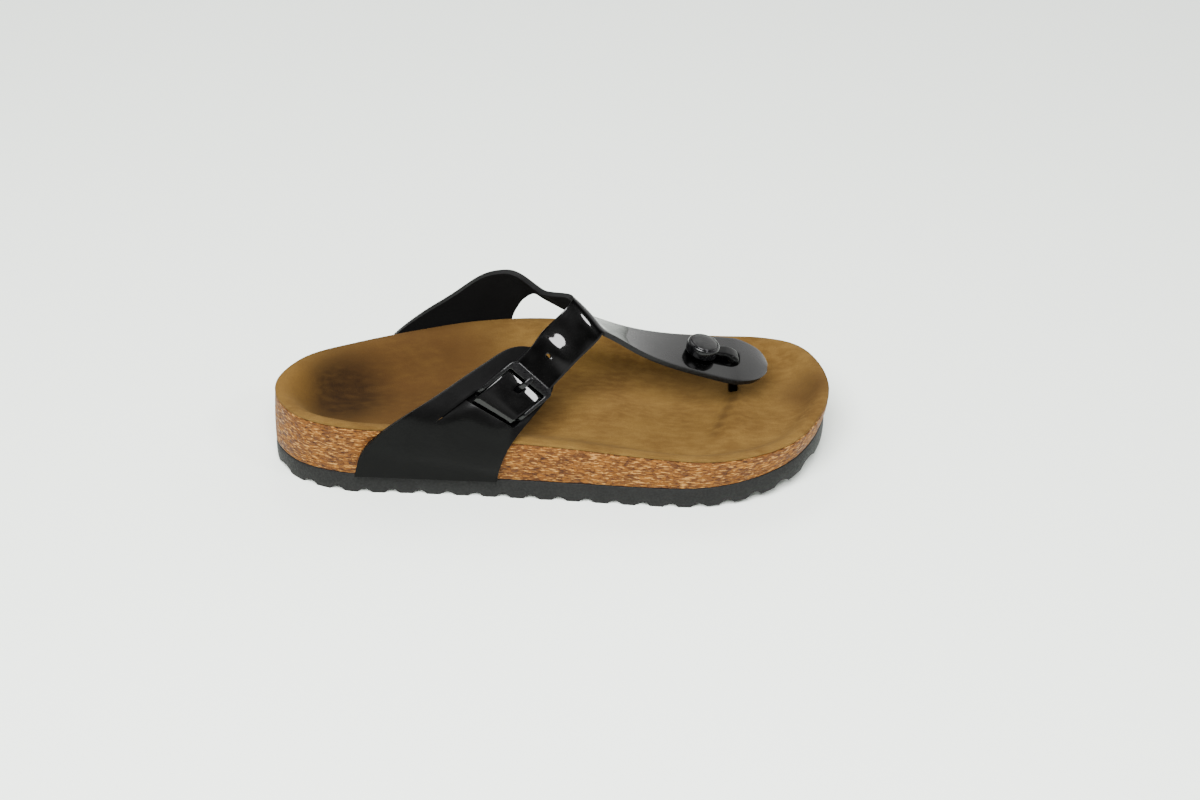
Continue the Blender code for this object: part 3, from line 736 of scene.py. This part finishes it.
def quarter_frame(station, share):
    """Point of the quarter's face with its directions across to the front and outwards."""
    cross = quarter_point(station, share + FRAME_STEP) - quarter_point(station, share - FRAME_STEP)
    along = quarter_point(station + FRAME_STEP, share) - quarter_point(station - FRAME_STEP, share)
    out = np.cross(cross, along)
    return quarter_point(station, share), unit(cross), unit(out)


def quarter_width(station):
    return np.linalg.norm(quarter_point(station, 1.0) - quarter_point(station, 0.0))


def quarter_place(u, v):
    """Station and share of the quarter at a place of the buckle."""
    station = BUCKLE_STATION - v / BUCKLE_ROW
    return station, BUCKLE_SHARE + u / quarter_width(station)


def over_quarter(u, v, lift):
    """Point above the quarter, in the buckle's directions."""
    point, _, out = quarter_frame(*quarter_place(u, v))
    return point + lift * out


def flap_lift(station, share):
    """Height of the flap that the strap's end raises below the slot."""
    u = abs(share - BUCKLE_SHARE) * quarter_width(station)
    v = (BUCKLE_STATION - station) * BUCKLE_ROW
    if v < SLOT_MIDDLE:
        return 0.0
    along = 1.0 - smoothstep((v - SLOT_BOTTOM) / (FLAP_END - SLOT_BOTTOM))
    return FLAP_LIFT * along * (1.0 - smoothstep((u - FLAP_FLAT) / (FLAP_SIDE - FLAP_FLAT)))


def open_surface():
    """Empty surface whose corners can be kept sharp when it is subdivided."""
    surface = bmesh.new()
    return surface, surface.verts.layers.float.new("crease_vert")


def keep_corners(verts, crease):
    for vert in verts:
        vert[crease] = 1.0


def face_off_foot(surface):
    """Turns an open surface so that its faces look away from the foot."""
    face_out(surface)
    foot = Vector(FOOT_MIDDLE) * MM
    facing = 0.0
    for face in surface.faces:
        facing += (face.calc_center_median() - foot).dot(face.normal) * face.calc_area()
    if facing < 0.0:
        bmesh.ops.reverse_faces(surface, faces=surface.faces[:])


def shell(name, surface, materials, thickness=STRAP_THICKNESS):
    """Strap from its outer face: subdivided, thickened inwards, its edges rounded."""
    loose = [vert for vert in surface.verts if not vert.link_faces]
    bmesh.ops.delete(surface, geom=loose, context="VERTS")
    face_off_foot(surface)
    strap = new_object(name, surface, materials)
    subdivide = strap.modifiers.new("smooth", "SUBSURF")
    subdivide.levels = STRAP_LEVELS
    subdivide.render_levels = STRAP_LEVELS
    solidify = strap.modifiers.new("thickness", "SOLIDIFY")
    solidify.thickness = thickness * MM
    solidify.offset = -1.0
    solidify.use_even_offset = True
    solidify.use_quality_normals = True
    solidify.material_offset = 1
    solidify.material_offset_rim = 2
    bevel = strap.modifiers.new("round edges", "BEVEL")
    bevel.width = STRAP_BEVEL * thickness / STRAP_THICKNESS * MM
    bevel.segments = BEVEL_SEGMENTS
    bevel.limit_method = "ANGLE"
    bevel.angle_limit = math.radians(BEVEL_ANGLE)
    settle(strap)
    return strap


def quarter_shares(station):
    """Columns across the quarter, with one at each side of the slot and drawn in to a round end."""
    rounding = max(0.0, (station - (QUARTER_END - QUARTER_ROUND)) / QUARTER_ROUND)
    half = 0.5 * math.sqrt(max(1.0 - rounding ** 2, END_FLAT))
    first, last = 0.5 - half, 0.5 + half
    side = SIDE_SHARE * (last - first)
    slot_first = max(quarter_place(-SLOT_HALF_WIDTH, SLOT_MIDDLE)[1], first + side)
    slot_last = min(quarter_place(SLOT_HALF_WIDTH, SLOT_MIDDLE)[1], last - side)
    columns = np.linspace(slot_first, slot_last, QUARTER_COLUMNS)
    return [first, 0.5 * (first + slot_first), *columns, last]


def quarter_row(surface, station, slit):
    """Row of the quarter in two stretches: behind the flap's rear side, and from there to the front."""
    points = []
    shares = quarter_shares(station)
    for share in shares:
        point, _, out = quarter_frame(station, share)
        points.append(point + flap_lift(station, share) * out)
    if not slit:
        row = add_verts(surface, points)
        return QuarterRow(row[:SLIT_COLUMN + 1], row[SLIT_COLUMN:])
    point, side, _ = quarter_frame(station, shares[SLIT_COLUMN])
    rear = add_verts(surface, points[:SLIT_COLUMN] + [point - SLIT_HALF_WIDTH * side])
    points[SLIT_COLUMN] = points[SLIT_COLUMN] + SLIT_HALF_WIDTH * side
    return QuarterRow(rear, add_verts(surface, points[SLIT_COLUMN:]))


def build_quarter(materials):
    slot_rows = [quarter_place(0.0, v)[0] for v in (SLOT_BOTTOM, SLOT_TOP)]
    slit_end = quarter_place(0.0, SLIT_END)[0]
    even = np.linspace(0.0, QUARTER_END, int(QUARTER_END * QUARTER_STEPS) + 1)
    clear = SLOT_CLEAR / QUARTER_STEPS
    stations = [s for s in even if s < slot_rows[0] - clear or s > slot_rows[1] + clear]
    stations = sorted(stations + slot_rows)
    surface, crease = open_surface()
    rows = []
    for station in stations:
        rows.append(quarter_row(surface, station, slit_end < station <= slot_rows[0]))
    for station, first, second in zip(stations, rows, rows[1:]):
        add_strip(surface, first.rear, second.rear)
        if station == slot_rows[0]:
            add_strip(surface, first.front[-2:], second.front[-2:])
        else:
            add_strip(surface, first.front, second.front)
    keep_corners((rows[0].rear[0], rows[0].front[-1]), crease)
    for row in (rows[stations.index(station)] for station in slot_rows):
        keep_corners((row.rear[-1], row.front[0], row.front[-2]), crease)
    quarter = shell("quarter", surface, materials)
    return stand_for(quarter, "lateral_quarter")


def build_lining_and_shade_sheet(materials):
    """Felt lining inside the quarter behind the buckle's slot, reaching on behind the slit: a dark
    sheet that paints the shade seen through them.
    """
    surface, _ = open_surface()
    rows = []
    for v in np.linspace(LINING_TOP, LINING_BOTTOM, LINING_ROWS):
        front = np.interp(v, (LINING_TURN, LINING_BOTTOM), (LINING_FRONT, LINING_TAIL))
        columns = np.linspace(LINING_REAR, front, LINING_COLUMNS)
        rows.append(add_verts(surface, [over_quarter(u, v, LINING_LIFT) for u in columns]))
    add_strips(surface, rows)
    lining = shell("lining", surface, materials, LINING_THICKNESS)
    return stand_for(lining, "lateral_quarter")


def strap_rows():
    """Edges of the T strap: through the buckle, then over the instep to the medial side."""
    seats = []
    for seat in SEATS:
        sides = [over_quarter(u, seat.v, seat.lift) for u in (-STRAP_HALF_WIDTH, STRAP_HALF_WIDTH)]
        seats.append(np.concatenate(sides))
    return np.vstack([np.array(seats), np.array(WING)])


def row_out(rows, index):
    """Outward direction of a strap at a row."""
    before = rows[max(index - 1, 0)]
    after = rows[min(index + 1, len(rows) - 1)]
    along = (after[:3] + after[3:]) - (before[:3] + before[3:])
    return unit(np.cross(rows[index][3:] - rows[index][:3], along))


def add_cross_strap(surface, rows):
    """Lateral strap and medial wing, flat in the buckle and crowned beyond it."""
    strap = []
    for i, row in enumerate(rows):
        crown = STRAP_CROWN * smoothstep(i / STRAP_STEPS - len(SEATS) + 1)
        strap.append(add_verts(surface, across(row, STRAP_SHARES, crown, row_out(rows, i))))
    hole_start, hole_end = (STRAP_STEPS * index for index in PIN_HOLE_SEATS)
    for i, (first, second) in enumerate(zip(strap, strap[1:])):
        if hole_start <= i < hole_end:
            for side in (slice(PIN_HOLE_COLUMN + 1), slice(PIN_HOLE_COLUMN + 1, None)):
                add_strip(surface, first[side], second[side])
        else:
            add_strip(surface, first, second)
    return strap


def soften(rows, first, last):
    """Spreads the bend of a strap over a stretch of its rows."""
    for _ in range(BEND_PASSES):
        before, after = rows[first - 1:last - 1], rows[first + 1:last + 1]
        rows[first:last] = 0.5 * rows[first:last] + 0.25 * (before + after)


def add_tongue(surface, root, root_row):
    """Tongue from its root on the strap's front edge to its tip, with the slot for the post."""
    edges = spline(np.vstack([root_row, np.array(TONGUE)]), TONGUE_STEPS)
    soften(edges, 1, TONGUE_STEPS * BEND_TONGUE_ROWS)
    edges = edges[1:]
    slot_first, slot_last = (TONGUE_STEPS * (index + 1) - 1 for index in SLOT_TONGUE_ROWS)
    previous = root
    for i, row in enumerate(edges):
        current = add_verts(surface, across(row, TONGUE_SHARES, TONGUE_CROWN, UP))
        if slot_first < i <= slot_last:
            for side in (slice(SLOT_SIDE_COLUMNS), slice(-SLOT_SIDE_COLUMNS, None)):
                add_strip(surface, previous[side], current[side])
        else:
            add_strip(surface, previous, current)
        previous = current


def cut_free_hole(upper):
    """Spare hole for the prong, further along the strap."""
    _, side, out = quarter_frame(*quarter_place(*FREE_HOLE_PLACE))
    centre = over_quarter(*FREE_HOLE_PLACE, FREE_HOLE_LIFT)
    along = np.cross(out, side)
    punch = bmesh.new()
    radius = FREE_HOLE_RADIUS * MM
    bmesh.ops.create_cone(punch, cap_ends=True, segments=FREE_HOLE_SEGMENTS,
                          radius1=radius, radius2=radius, depth=FREE_HOLE_DEPTH * MM)
    turned = Matrix((side, along, out)).transposed().to_4x4()
    cut(upper, punch, Matrix.Translation(Vector(centre) * MM) @ turned)


def build_upper(materials):
    surface, crease = open_surface()
    rows = spline(strap_rows(), STRAP_STEPS)
    start, end = (STRAP_STEPS * (len(SEATS) + index) for index in TONGUE_ROOT)
    soften(rows, start - BEND_ROWS, start + BEND_ROWS + 1)
    strap = add_cross_strap(surface, rows)
    root = [row[-1] for row in strap[start:end + 1]]
    add_tongue(surface, root, np.concatenate([rows[start][3:], rows[end][3:]]))
    keep_corners((strap[0][0], strap[0][-1], strap[-1][0], strap[-1][-1]), crease)
    upper = shell("t_strap", surface, materials)
    cut_free_hole(upper)
    return stand_for(upper, "t_strap_upper")


def round_loop(shape):
    """Rectangle with round corners, in the buckle's directions, from its lower front corner."""
    corner = shape.corner
    top, bottom = shape.top + corner, shape.bottom - corner
    centres = ((1, bottom, 0.0), (-1, bottom, 90.0), (-1, top, 180.0), (1, top, 270.0))
    loop = []
    for side, v, start in centres:
        for i in range(CORNER_STEPS + 1):
            angle = math.radians(start + 90.0 * i / CORNER_STEPS)
            u = side * (shape.half_width - corner) + corner * math.cos(angle)
            loop.append((u, v + corner * math.sin(angle)))
    return loop


def with_sides(loop):
    """Loop with the straight sides between its corners divided."""
    points = []
    loop = np.array(loop)
    for i, point in enumerate(loop):
        points.append(point)
        if (i + 1) % (CORNER_STEPS + 1) == 0:
            after = loop[(i + 1) % len(loop)]
            for step in range(1, SIDE_STEPS):
                points.append(point + step / SIDE_STEPS * (after - point))
    return np.array(points)


def table_lift(table, v):
    """Lift at a place along the strap, smoothed between the rows."""
    curve = spline(table, LIFT_STEPS)
    return np.interp(v, curve[:, 0], curve[:, 1])


def soft_square(angle):
    """Point of a square section with round corners, reaching 1 along both axes."""
    power = 2.0 / SECTION_POWER
    c, s = math.cos(angle), math.sin(angle)
    return math.copysign(abs(c) ** power, c), math.copysign(abs(s) ** power, s)


SECTION = [soft_square(2.0 * math.pi * k / SECTION_POINTS) for k in range(SECTION_POINTS)]


def build_buckle(materials):
    """Frame with a wide top bar over the strap and a lower bar in the quarter's slot."""
    outer = with_sides(round_loop(BUCKLE_OUTSIDE))
    inner = with_sides(round_loop(BUCKLE_WINDOW))
    lifts = [table_lift(FRAME_LIFTS, loop[:, 1]) for loop in (outer, inner)]
    solid = bmesh.new()
    rings = []
    for wide, tall in SECTION:
        share = 0.5 + 0.5 * wide
        plan = inner + share * (outer - inner)
        lift = lifts[1] + share * (lifts[0] - lifts[1]) + 0.5 * BUCKLE_DEPTH * tall
        rings.append(add_verts(solid, [over_quarter(u, v, h) for (u, v), h in zip(plan, lift)]))
    add_strips(solid, rings + rings[:1], closed=True)
    face_out(solid)
    return stand_for(new_object("buckle", solid, materials), "buckle_frame")


def bar(name, centres, across_dirs, widths, thicknesses, materials):
    """Closed bar with rounded corners along a line of points, its ends drawn in."""
    solid = bmesh.new()
    sections = []
    for i, centre in enumerate(centres):
        along = centres[min(i + 1, len(centres) - 1)] - centres[max(i - 1, 0)]
        out = unit(np.cross(across_dirs[i], along))
        points = []
        for wide, tall in SECTION:
            aside = 0.5 * widths[i] * wide * across_dirs[i]
            points.append(centre + aside + 0.5 * thicknesses[i] * tall * out)
        sections.append(add_verts(solid, points))
    add_strips(solid, sections, closed=True)
    solid.faces.new(sections[0])
    solid.faces.new(sections[-1])
    face_out(solid)
    return new_object(name, solid, materials)


def end_sizes(centres, size, reach):
    """Size along a bar that shrinks to a round end over the last stretch."""
    steps = np.linalg.norm(np.diff(centres, axis=0), axis=1)
    left = np.concatenate([[0.0], np.cumsum(steps)])
    room = np.clip((left[-1] - left) / reach, 0.0, 1.0)
    return size * np.maximum(np.sqrt(1.0 - (1.0 - room) ** 2), END_POINT)


def build_prong(materials):
    rows = spline(PRONG, BAR_STEPS)
    centres = np.array([over_quarter(0.0, v, lift) for v, lift in rows])
    sides = [quarter_frame(*quarter_place(0.0, v))[1] for v, _ in rows]
    widths = end_sizes(centres, PRONG_WIDTH, PRONG_WIDTH)
    thicknesses = end_sizes(centres, PRONG_DEPTH, PRONG_DEPTH)
    prong = bar("prong", centres, sides, widths, thicknesses, materials)
    return stand_for(prong, "buckle_prong")


def build_post(materials):
    rows = spline(POST, BAR_STEPS)
    sides = [MEDIAL] * len(rows)
    post = bar("post", rows[:, :3], sides, rows[:, 3], rows[:, 4], materials)
    return stand_for(post, "toe_post")


def build_rivet(materials):
    """Turned cap over the end of the post, with a channel that the post runs out of; its satin top disc
    is paler, a painted reflection of the light.
    """
    solid = bmesh.new()
    top, *rest, foot = RIVET_PROFILE
    angles = np.linspace(0.0, 2.0 * np.pi, RIVET_SEGMENTS, endpoint=False)
    rows = []
    for turn in rest:
        ring = np.column_stack([turn.radius * np.cos(angles), turn.radius * np.sin(angles),
                                np.full_like(angles, turn.height)])
        rows.append(add_verts(solid, ring))
    add_strips(solid, rows, closed=True)
    for row, turn in ((rows[0], top), (rows[-1], foot)):
        middle = add_verts(solid, [(0.0, 0.0, turn.height)])[0]
        for i in range(RIVET_SEGMENTS):
            solid.faces.new((row[i], row[(i + 1) % RIVET_SEGMENTS], middle))
    face_out(solid)
    # Faces of the top disc take the paler metal, the painted reflection of the light on the cap
    for face in solid.faces:
        middle = face.calc_center_median() / MM
        face.material_index = int(middle.xy.length < DISC_RADIUS and middle.z > DISC_BASE)
    rivet = new_object("rivet", solid, materials)
    cut(rivet, box_solid(CHANNEL_LOW, CHANNEL_HIGH), Matrix.Identity(4))
    rivet.data.set_sharp_from_angle(angle=math.radians(BEVEL_ANGLE))
    slope = Matrix.Rotation(math.radians(RIVET_SLOPE_DEG), 4, "Y")
    rivet.matrix_world = Matrix.Translation(Vector(RIVET_BASE) * MM) @ slope
    return stand_for(rivet, "rivet_cap")


def new_material(name):
    """Empty material with its shader and the position on the sandal, in metres."""
    material = bpy.data.materials.new(name)
    material.use_nodes = True
    tree = material.node_tree
    where = node(tree, "ShaderNodeTexCoord").outputs["Object"]
    return material, tree.nodes["Principled BSDF"], where


def node(tree, kind, settings=(), **inputs):
    """Adds a node and fills its inputs; i0 and i1 are inputs by number."""
    made = tree.nodes.new(kind)
    for key, value in dict(settings).items():
        setattr(made, key, value)
    for key, value in inputs.items():
        by_number = key[0] == "i" and key[1:].isdigit()
        feed(made.inputs[int(key[1:]) if by_number else key], value)
    return made


def feed(socket, value):
    """Links an input to another socket of its tree, or sets it."""
    if isinstance(value, bpy.types.NodeSocket):
        socket.id_data.links.new(value, socket)
    else:
        socket.default_value = value


def set_shader(shader, **inputs):
    for key, value in inputs.items():
        feed(shader.inputs[key.replace("_", " ")], value)


def stretched(where, grain):
    """Position turned and scaled, for grain that runs one way."""
    turn = tuple(math.radians(angle) for angle in grain.turn_deg)
    made = node(where.id_data, "ShaderNodeMapping", Vector=where, Rotation=turn, Scale=grain.scale)
    return made.outputs["Vector"]


def noise(where, size_mm, detail=4.0, rough=0.55):
    """Cloudy noise from 0 to 1 with features of the given size."""
    made = node(where.id_data, "ShaderNodeTexNoise", Vector=where, Scale=1.0 / (size_mm * MM))
    made.inputs["Detail"].default_value = detail
    made.inputs["Roughness"].default_value = rough
    return made.outputs["Fac"]


def cells(where, size_mm, feature="F1", output="Distance"):
    """Grains of the given size."""
    made = node(where.id_data, "ShaderNodeTexVoronoi", {"feature": feature}, Vector=where)
    made.inputs["Scale"].default_value = 1.0 / (size_mm * MM)
    return made.outputs[output]


def span(value, between, to=(0.0, 1.0)):
    """Value moved from one range to another, smoothly and held at the ends."""
    made = node(value.id_data, "ShaderNodeMapRange", {"interpolation_type": "SMOOTHSTEP"}, Value=value)
    for key, number in zip(("From Min", "From Max", "To Min", "To Max"), (*between, *to)):
        made.inputs[key].default_value = number
    return made.outputs["Result"]


def mixed(share, first, second):
    """Colour between two colours."""
    made = node(share.id_data, "ShaderNodeMix", {"data_type": "RGBA"})
    feed(made.inputs[MIX_SHARE], share)
    for socket, colour in ((MIX_FIRST, first), (MIX_SECOND, second)):
        feed(made.inputs[socket], (*colour, 1.0) if isinstance(colour, tuple) else colour)
    return made.outputs[MIX_RESULT]


def times(first, second):
    made = node(first.id_data, "ShaderNodeMath", {"operation": "MULTIPLY"}, i0=first, i1=second)
    return made.outputs["Value"]


def plus(first, second):
    made = node(first.id_data, "ShaderNodeMath", {"operation": "ADD"}, i0=first, i1=second)
    return made.outputs["Value"]


def near(where, spot):
    """1 close to a spot on the sandal, falling to 0 further out."""
    centre = (spot.x * MM, spot.y * MM, spot.z * MM)
    away = node(where.id_data, "ShaderNodeVectorMath", {"operation": "DISTANCE"}, i0=where, i1=centre)
    return span(away.outputs["Value"], (spot.inner * MM, spot.outer * MM), to=(1.0, 0.0))


def bump(height, strength, depth_mm):
    made = node(height.id_data, "ShaderNodeBump", Height=height, Strength=strength)
    made.inputs["Distance"].default_value = depth_mm * MM
    return made.outputs["Normal"]


def foam_material():
    """Charcoal foamed sole: matt, faintly grainy, greyer where it is rubbed."""
    material, shader, where = new_material("sole foam")
    grain = noise(where, size_mm=0.9, detail=3.0)
    cloud = noise(where, size_mm=14.0)
    colour = mixed(span(cloud, UPPER_NOISE), FOAM_DARK, FOAM_LIGHT)
    colour = mixed(span(grain, (0.62, 0.75), to=(0.0, 0.5)), colour, FOAM_SPECK)
    set_shader(shader, Base_Color=colour, Specular_IOR_Level=FOAM_SPECULAR)
    set_shader(shader, Roughness=span(grain, MOST_NOISE, to=(0.6, 0.8)))
    set_shader(shader, Normal=bump(grain, strength=0.35, depth_mm=0.25))
    return material


def cork_material():
    """Granulated cork: packed crumbs of several browns, slanting dark bark flecks, sealed surface."""
    material, shader, where = new_material("cork")
    warped = stretched(where, CRUMB_GRAIN)
    crumb = cells(warped, CRUMB_SIZE, output="Color")
    tone = node(crumb.id_data, "ShaderNodeSeparateColor", Color=crumb).outputs[0]
    border = cells(warped, CRUMB_SIZE, feature="DISTANCE_TO_EDGE")
    fleck = noise(stretched(where, FLECK_GRAIN), size_mm=1.7, detail=3.0)
    cloud = noise(where, size_mm=9.0, detail=2.0)
    colour = mixed(tone, CORK_DARK, CORK_LIGHT)
    colour = mixed(span(cloud, (0.35, 0.65), to=(0.0, 0.55)), colour, CORK_MIDDLE)
    colour = mixed(span(border, (0.0, 0.09), to=(0.5, 0.0)), colour, CORK_SEAM)
    colour = mixed(span(fleck, (0.56, 0.64), to=(0.0, 0.85)), colour, CORK_BARK)
    colour = mixed(span(fleck, (0.45, 0.36), to=(0.0, 0.8)), colour, CORK_PALE)
    set_shader(shader, Base_Color=colour, Specular_IOR_Level=CORK_SPECULAR)
    set_shader(shader, Roughness=span(tone, (0.0, 1.0), to=(0.5, 0.72)))
    relief = plus(span(border, (0.0, 0.16)), times(fleck, 0.6))
    set_shader(shader, Normal=bump(relief, strength=0.5, depth_mm=0.25))
    return material


def suede_material():
    """Brushed suede: short nap in two directions, darker where the foot presses, paler at the rim,
    painted shade in the toe-grip crease.
    """
    material, shader, where = new_material("suede")
    nap = noise(where, size_mm=0.55, rough=0.7)
    swept = noise(stretched(where, SWEPT_GRAIN), size_mm=2.2)
    cloud = noise(where, size_mm=22.0, detail=3.0)
    colour = mixed(span(cloud, MOST_NOISE), SUEDE_DARK, SUEDE_LIGHT)
    colour = mixed(span(swept, UPPER_NOISE, to=(0.0, 0.35)), colour, SUEDE_NAP)
    # Spots: wear at the heel and toes, a paler rim, and painted shade in the toe-grip crease
    for spot in SUEDE_SPOTS:
        uneven = span(swept, (0.2, 0.7), to=(SPOT_UNEVEN * spot.share, spot.share))
        colour = mixed(times(near(where, spot), uneven), colour, spot.colour)
    colour = mixed(span(nap, MOST_NOISE, to=(0.28, 0.0)), colour, SUEDE_DEEP)
    set_shader(shader, Base_Color=colour, Roughness=0.92, Specular_IOR_Level=SUEDE_SPECULAR)
    set_shader(shader, Sheen_Weight=0.12, Sheen_Roughness=0.5, Sheen_Tint=(*SUEDE_LIGHT, 1.0))
    relief = plus(nap, times(swept, 0.7))
    set_shader(shader, Normal=bump(relief, strength=0.6, depth_mm=0.25))
    return material


def patent_material(kind):
    """Coated leather: black, with a clear coat over a faintly pebbled base."""
    material, shader, where = new_material(kind.name)
    pebble = cells(where, size_mm=1.1)
    wave = noise(where, size_mm=7.0, detail=2.0)
    cloud = noise(where, size_mm=16.0)
    paler = tuple(PATENT_CLOUD * c for c in kind.colour)
    colour = mixed(span(cloud, UPPER_NOISE), kind.colour, paler)
    set_shader(shader, Base_Color=colour, Specular_IOR_Level=PATENT_SPECULAR)
    set_shader(shader, Coat_Weight=kind.coat, Coat_Roughness=kind.coat_roughness)
    rough = tuple(share * kind.roughness for share in PATENT_ROUGH)
    set_shader(shader, Roughness=span(wave, MOST_NOISE, to=rough))
    set_shader(shader, Normal=bump(pebble, strength=0.12, depth_mm=0.12))
    set_shader(shader, Coat_Normal=bump(wave, strength=0.14, depth_mm=0.12))
    return material


def felt_material():
    """Black felt backing."""
    material, shader, where = new_material("felt")
    fibre = noise(where, size_mm=0.5, detail=5.0, rough=0.7)
    colour = mixed(span(fibre, MOST_NOISE), FELT_DARK, FELT_LIGHT)
    set_shader(shader, Base_Color=colour, Roughness=0.95, Specular_IOR_Level=FELT_SPECULAR)
    set_shader(shader, Sheen_Weight=0.01, Sheen_Roughness=0.6)
    set_shader(shader, Normal=bump(fibre, strength=0.6, depth_mm=0.2))
    return material


def edge_material():
    """Cut strap edge with black edge paint, a little uneven."""
    material, shader, where = new_material("strap edge")
    grain = noise(where, size_mm=0.7)
    colour = mixed(span(grain, MOST_NOISE), EDGE_DARK, EDGE_LIGHT)
    set_shader(shader, Base_Color=colour, Specular_IOR_Level=EDGE_SPECULAR)
    set_shader(shader, Roughness=span(grain, MOST_NOISE, to=(0.35, 0.55)))
    set_shader(shader, Normal=bump(grain, strength=0.3, depth_mm=0.15))
    return material


def metal_material(kind):
    """Black lacquer over metal, with the fine scratches of polishing."""
    material, shader, where = new_material(kind.name)
    scratch = noise(stretched(where, SCRATCH_GRAIN), size_mm=0.45, detail=3.0)
    cloud = noise(where, size_mm=4.0, detail=2.0)
    colour = mixed(span(cloud, MOST_NOISE), kind.dark, kind.light)
    set_shader(shader, Base_Color=colour, Metallic=METAL_SHARE, Specular_IOR_Level=METAL_SPECULAR)
    set_shader(shader, Coat_Weight=kind.coat, Coat_Roughness=0.08)
    rough = tuple(share * kind.roughness for share in METAL_ROUGH)
    set_shader(shader, Roughness=span(scratch, MOST_NOISE, to=rough))
    set_shader(shader, Normal=bump(scratch, strength=0.08, depth_mm=0.05))
    return material


def floor_material():
    material, shader, where = new_material("floor")
    cloud = noise(where, size_mm=180.0, detail=2.0)
    set_shader(shader, Base_Color=mixed(cloud, FLOOR_DARK, FLOOR_LIGHT), Roughness=0.85)
    return material


def build_floor():
    solid = bmesh.new()
    bmesh.ops.create_grid(solid, x_segments=2, y_segments=2, size=0.5 * FLOOR_SIZE)
    new_object("floor", solid, [floor_material()])


def build_room():
    """Light of the room, by direction."""
    world = bpy.data.worlds.new("studio")
    world.use_nodes = True
    tree = world.node_tree
    sky = tree.nodes["Background"]
    toward = node(tree, "ShaderNodeTexCoord").outputs["Generated"]
    axes = node(tree, "ShaderNodeSeparateXYZ", Vector=toward)
    front = span(axes.outputs["Z"], FRONT_FADE, to=(ROOM_FRONT, ROOM_CEILING))
    back = span(axes.outputs["Z"], BACK_FADE, to=(ROOM_BACK, ROOM_CEILING))
    front = times(front, span(axes.outputs["Y"], DEPTH_FADE, to=(1.0, 0.0)))
    back = times(back, span(axes.outputs["Y"], DEPTH_FADE))
    sideways = span(axes.outputs["X"], SIDE_FADE, to=(ROOM_LEFT, ROOM_RIGHT))
    feed(sky.inputs["Strength"], times(plus(front, back), sideways))
    sky.inputs["Color"].default_value = (*ROOM_COLOUR, 1.0)
    bpy.context.scene.world = world


def build_lights():
    for box in SOFTBOXES:
        light = bpy.data.lights.new(box.name, "AREA")
        light.shape = "ELLIPSE"
        light.size = box.width
        light.size_y = box.height
        light.energy = box.power
        lamp = bpy.data.objects.new(box.name, light)
        lamp.location = (box.x, box.y, box.z)
        aim = Vector((0.0, 0.0, box.aim_height)) - lamp.location
        lamp.rotation_euler = aim.to_track_quat("-Z", "Y").to_euler()
        bpy.context.scene.collection.objects.link(lamp)


def build_camera():
    """Camera at the photo's angle, with the aim point at its pixel of the photo."""
    elevation = math.radians(CAMERA_ELEVATION)
    roll = math.radians(CAMERA_ROLL)
    back = Vector((0.0, -math.cos(elevation), math.sin(elevation)))
    level = Vector((1.0, 0.0, 0.0))
    upright = back.cross(level)
    right = math.cos(roll) * level + math.sin(roll) * upright
    up = math.cos(roll) * upright - math.sin(roll) * level
    u = (AIM_PIXEL[0] - 0.5 * PHOTO_WIDTH) / FOCAL_PIXELS
    v = (0.5 * PHOTO_HEIGHT - AIM_PIXEL[1]) / FOCAL_PIXELS
    eye = (Vector(AIM) + CAMERA_DISTANCE * (back - u * right - v * up)) * MM
    data = bpy.data.cameras.new("camera")
    data.sensor_width = SENSOR_WIDTH
    data.lens = SENSOR_WIDTH * FOCAL_PIXELS / PHOTO_WIDTH
    camera = bpy.data.objects.new("camera", data)
    camera.matrix_world = Matrix.Translation(eye) @ Matrix((right, up, back)).transposed().to_4x4()
    bpy.context.scene.collection.objects.link(camera)
    bpy.context.scene.camera = camera


def build_pieces():
    footbed = Footbed()
    felt = felt_material()
    edge = edge_material()
    lacquer = metal_material(BUCKLE_LACQUER)
    build_outsole(footbed, [foam_material()])
    build_cork(footbed, [cork_material()])
    build_liner(footbed, [suede_material()])
    build_quarter([patent_material(QUARTER_PATENT), felt, edge])
    # Felt behind the slot and slit, a dark sheet for the painted shade seen through them
    build_lining_and_shade_sheet([felt, felt, felt])
    build_upper([patent_material(STRAP_PATENT), felt, edge])
    build_buckle([lacquer])
    build_prong([lacquer])
    build_post([patent_material(POST_PATENT)])
    # The second metal is the rivet's paler top disc, a painted reflection of the light
    build_rivet([lacquer, metal_material(RIVET_TOP_SHEEN)])


build_camera()
build_floor()
build_room()
build_lights()
build_pieces()
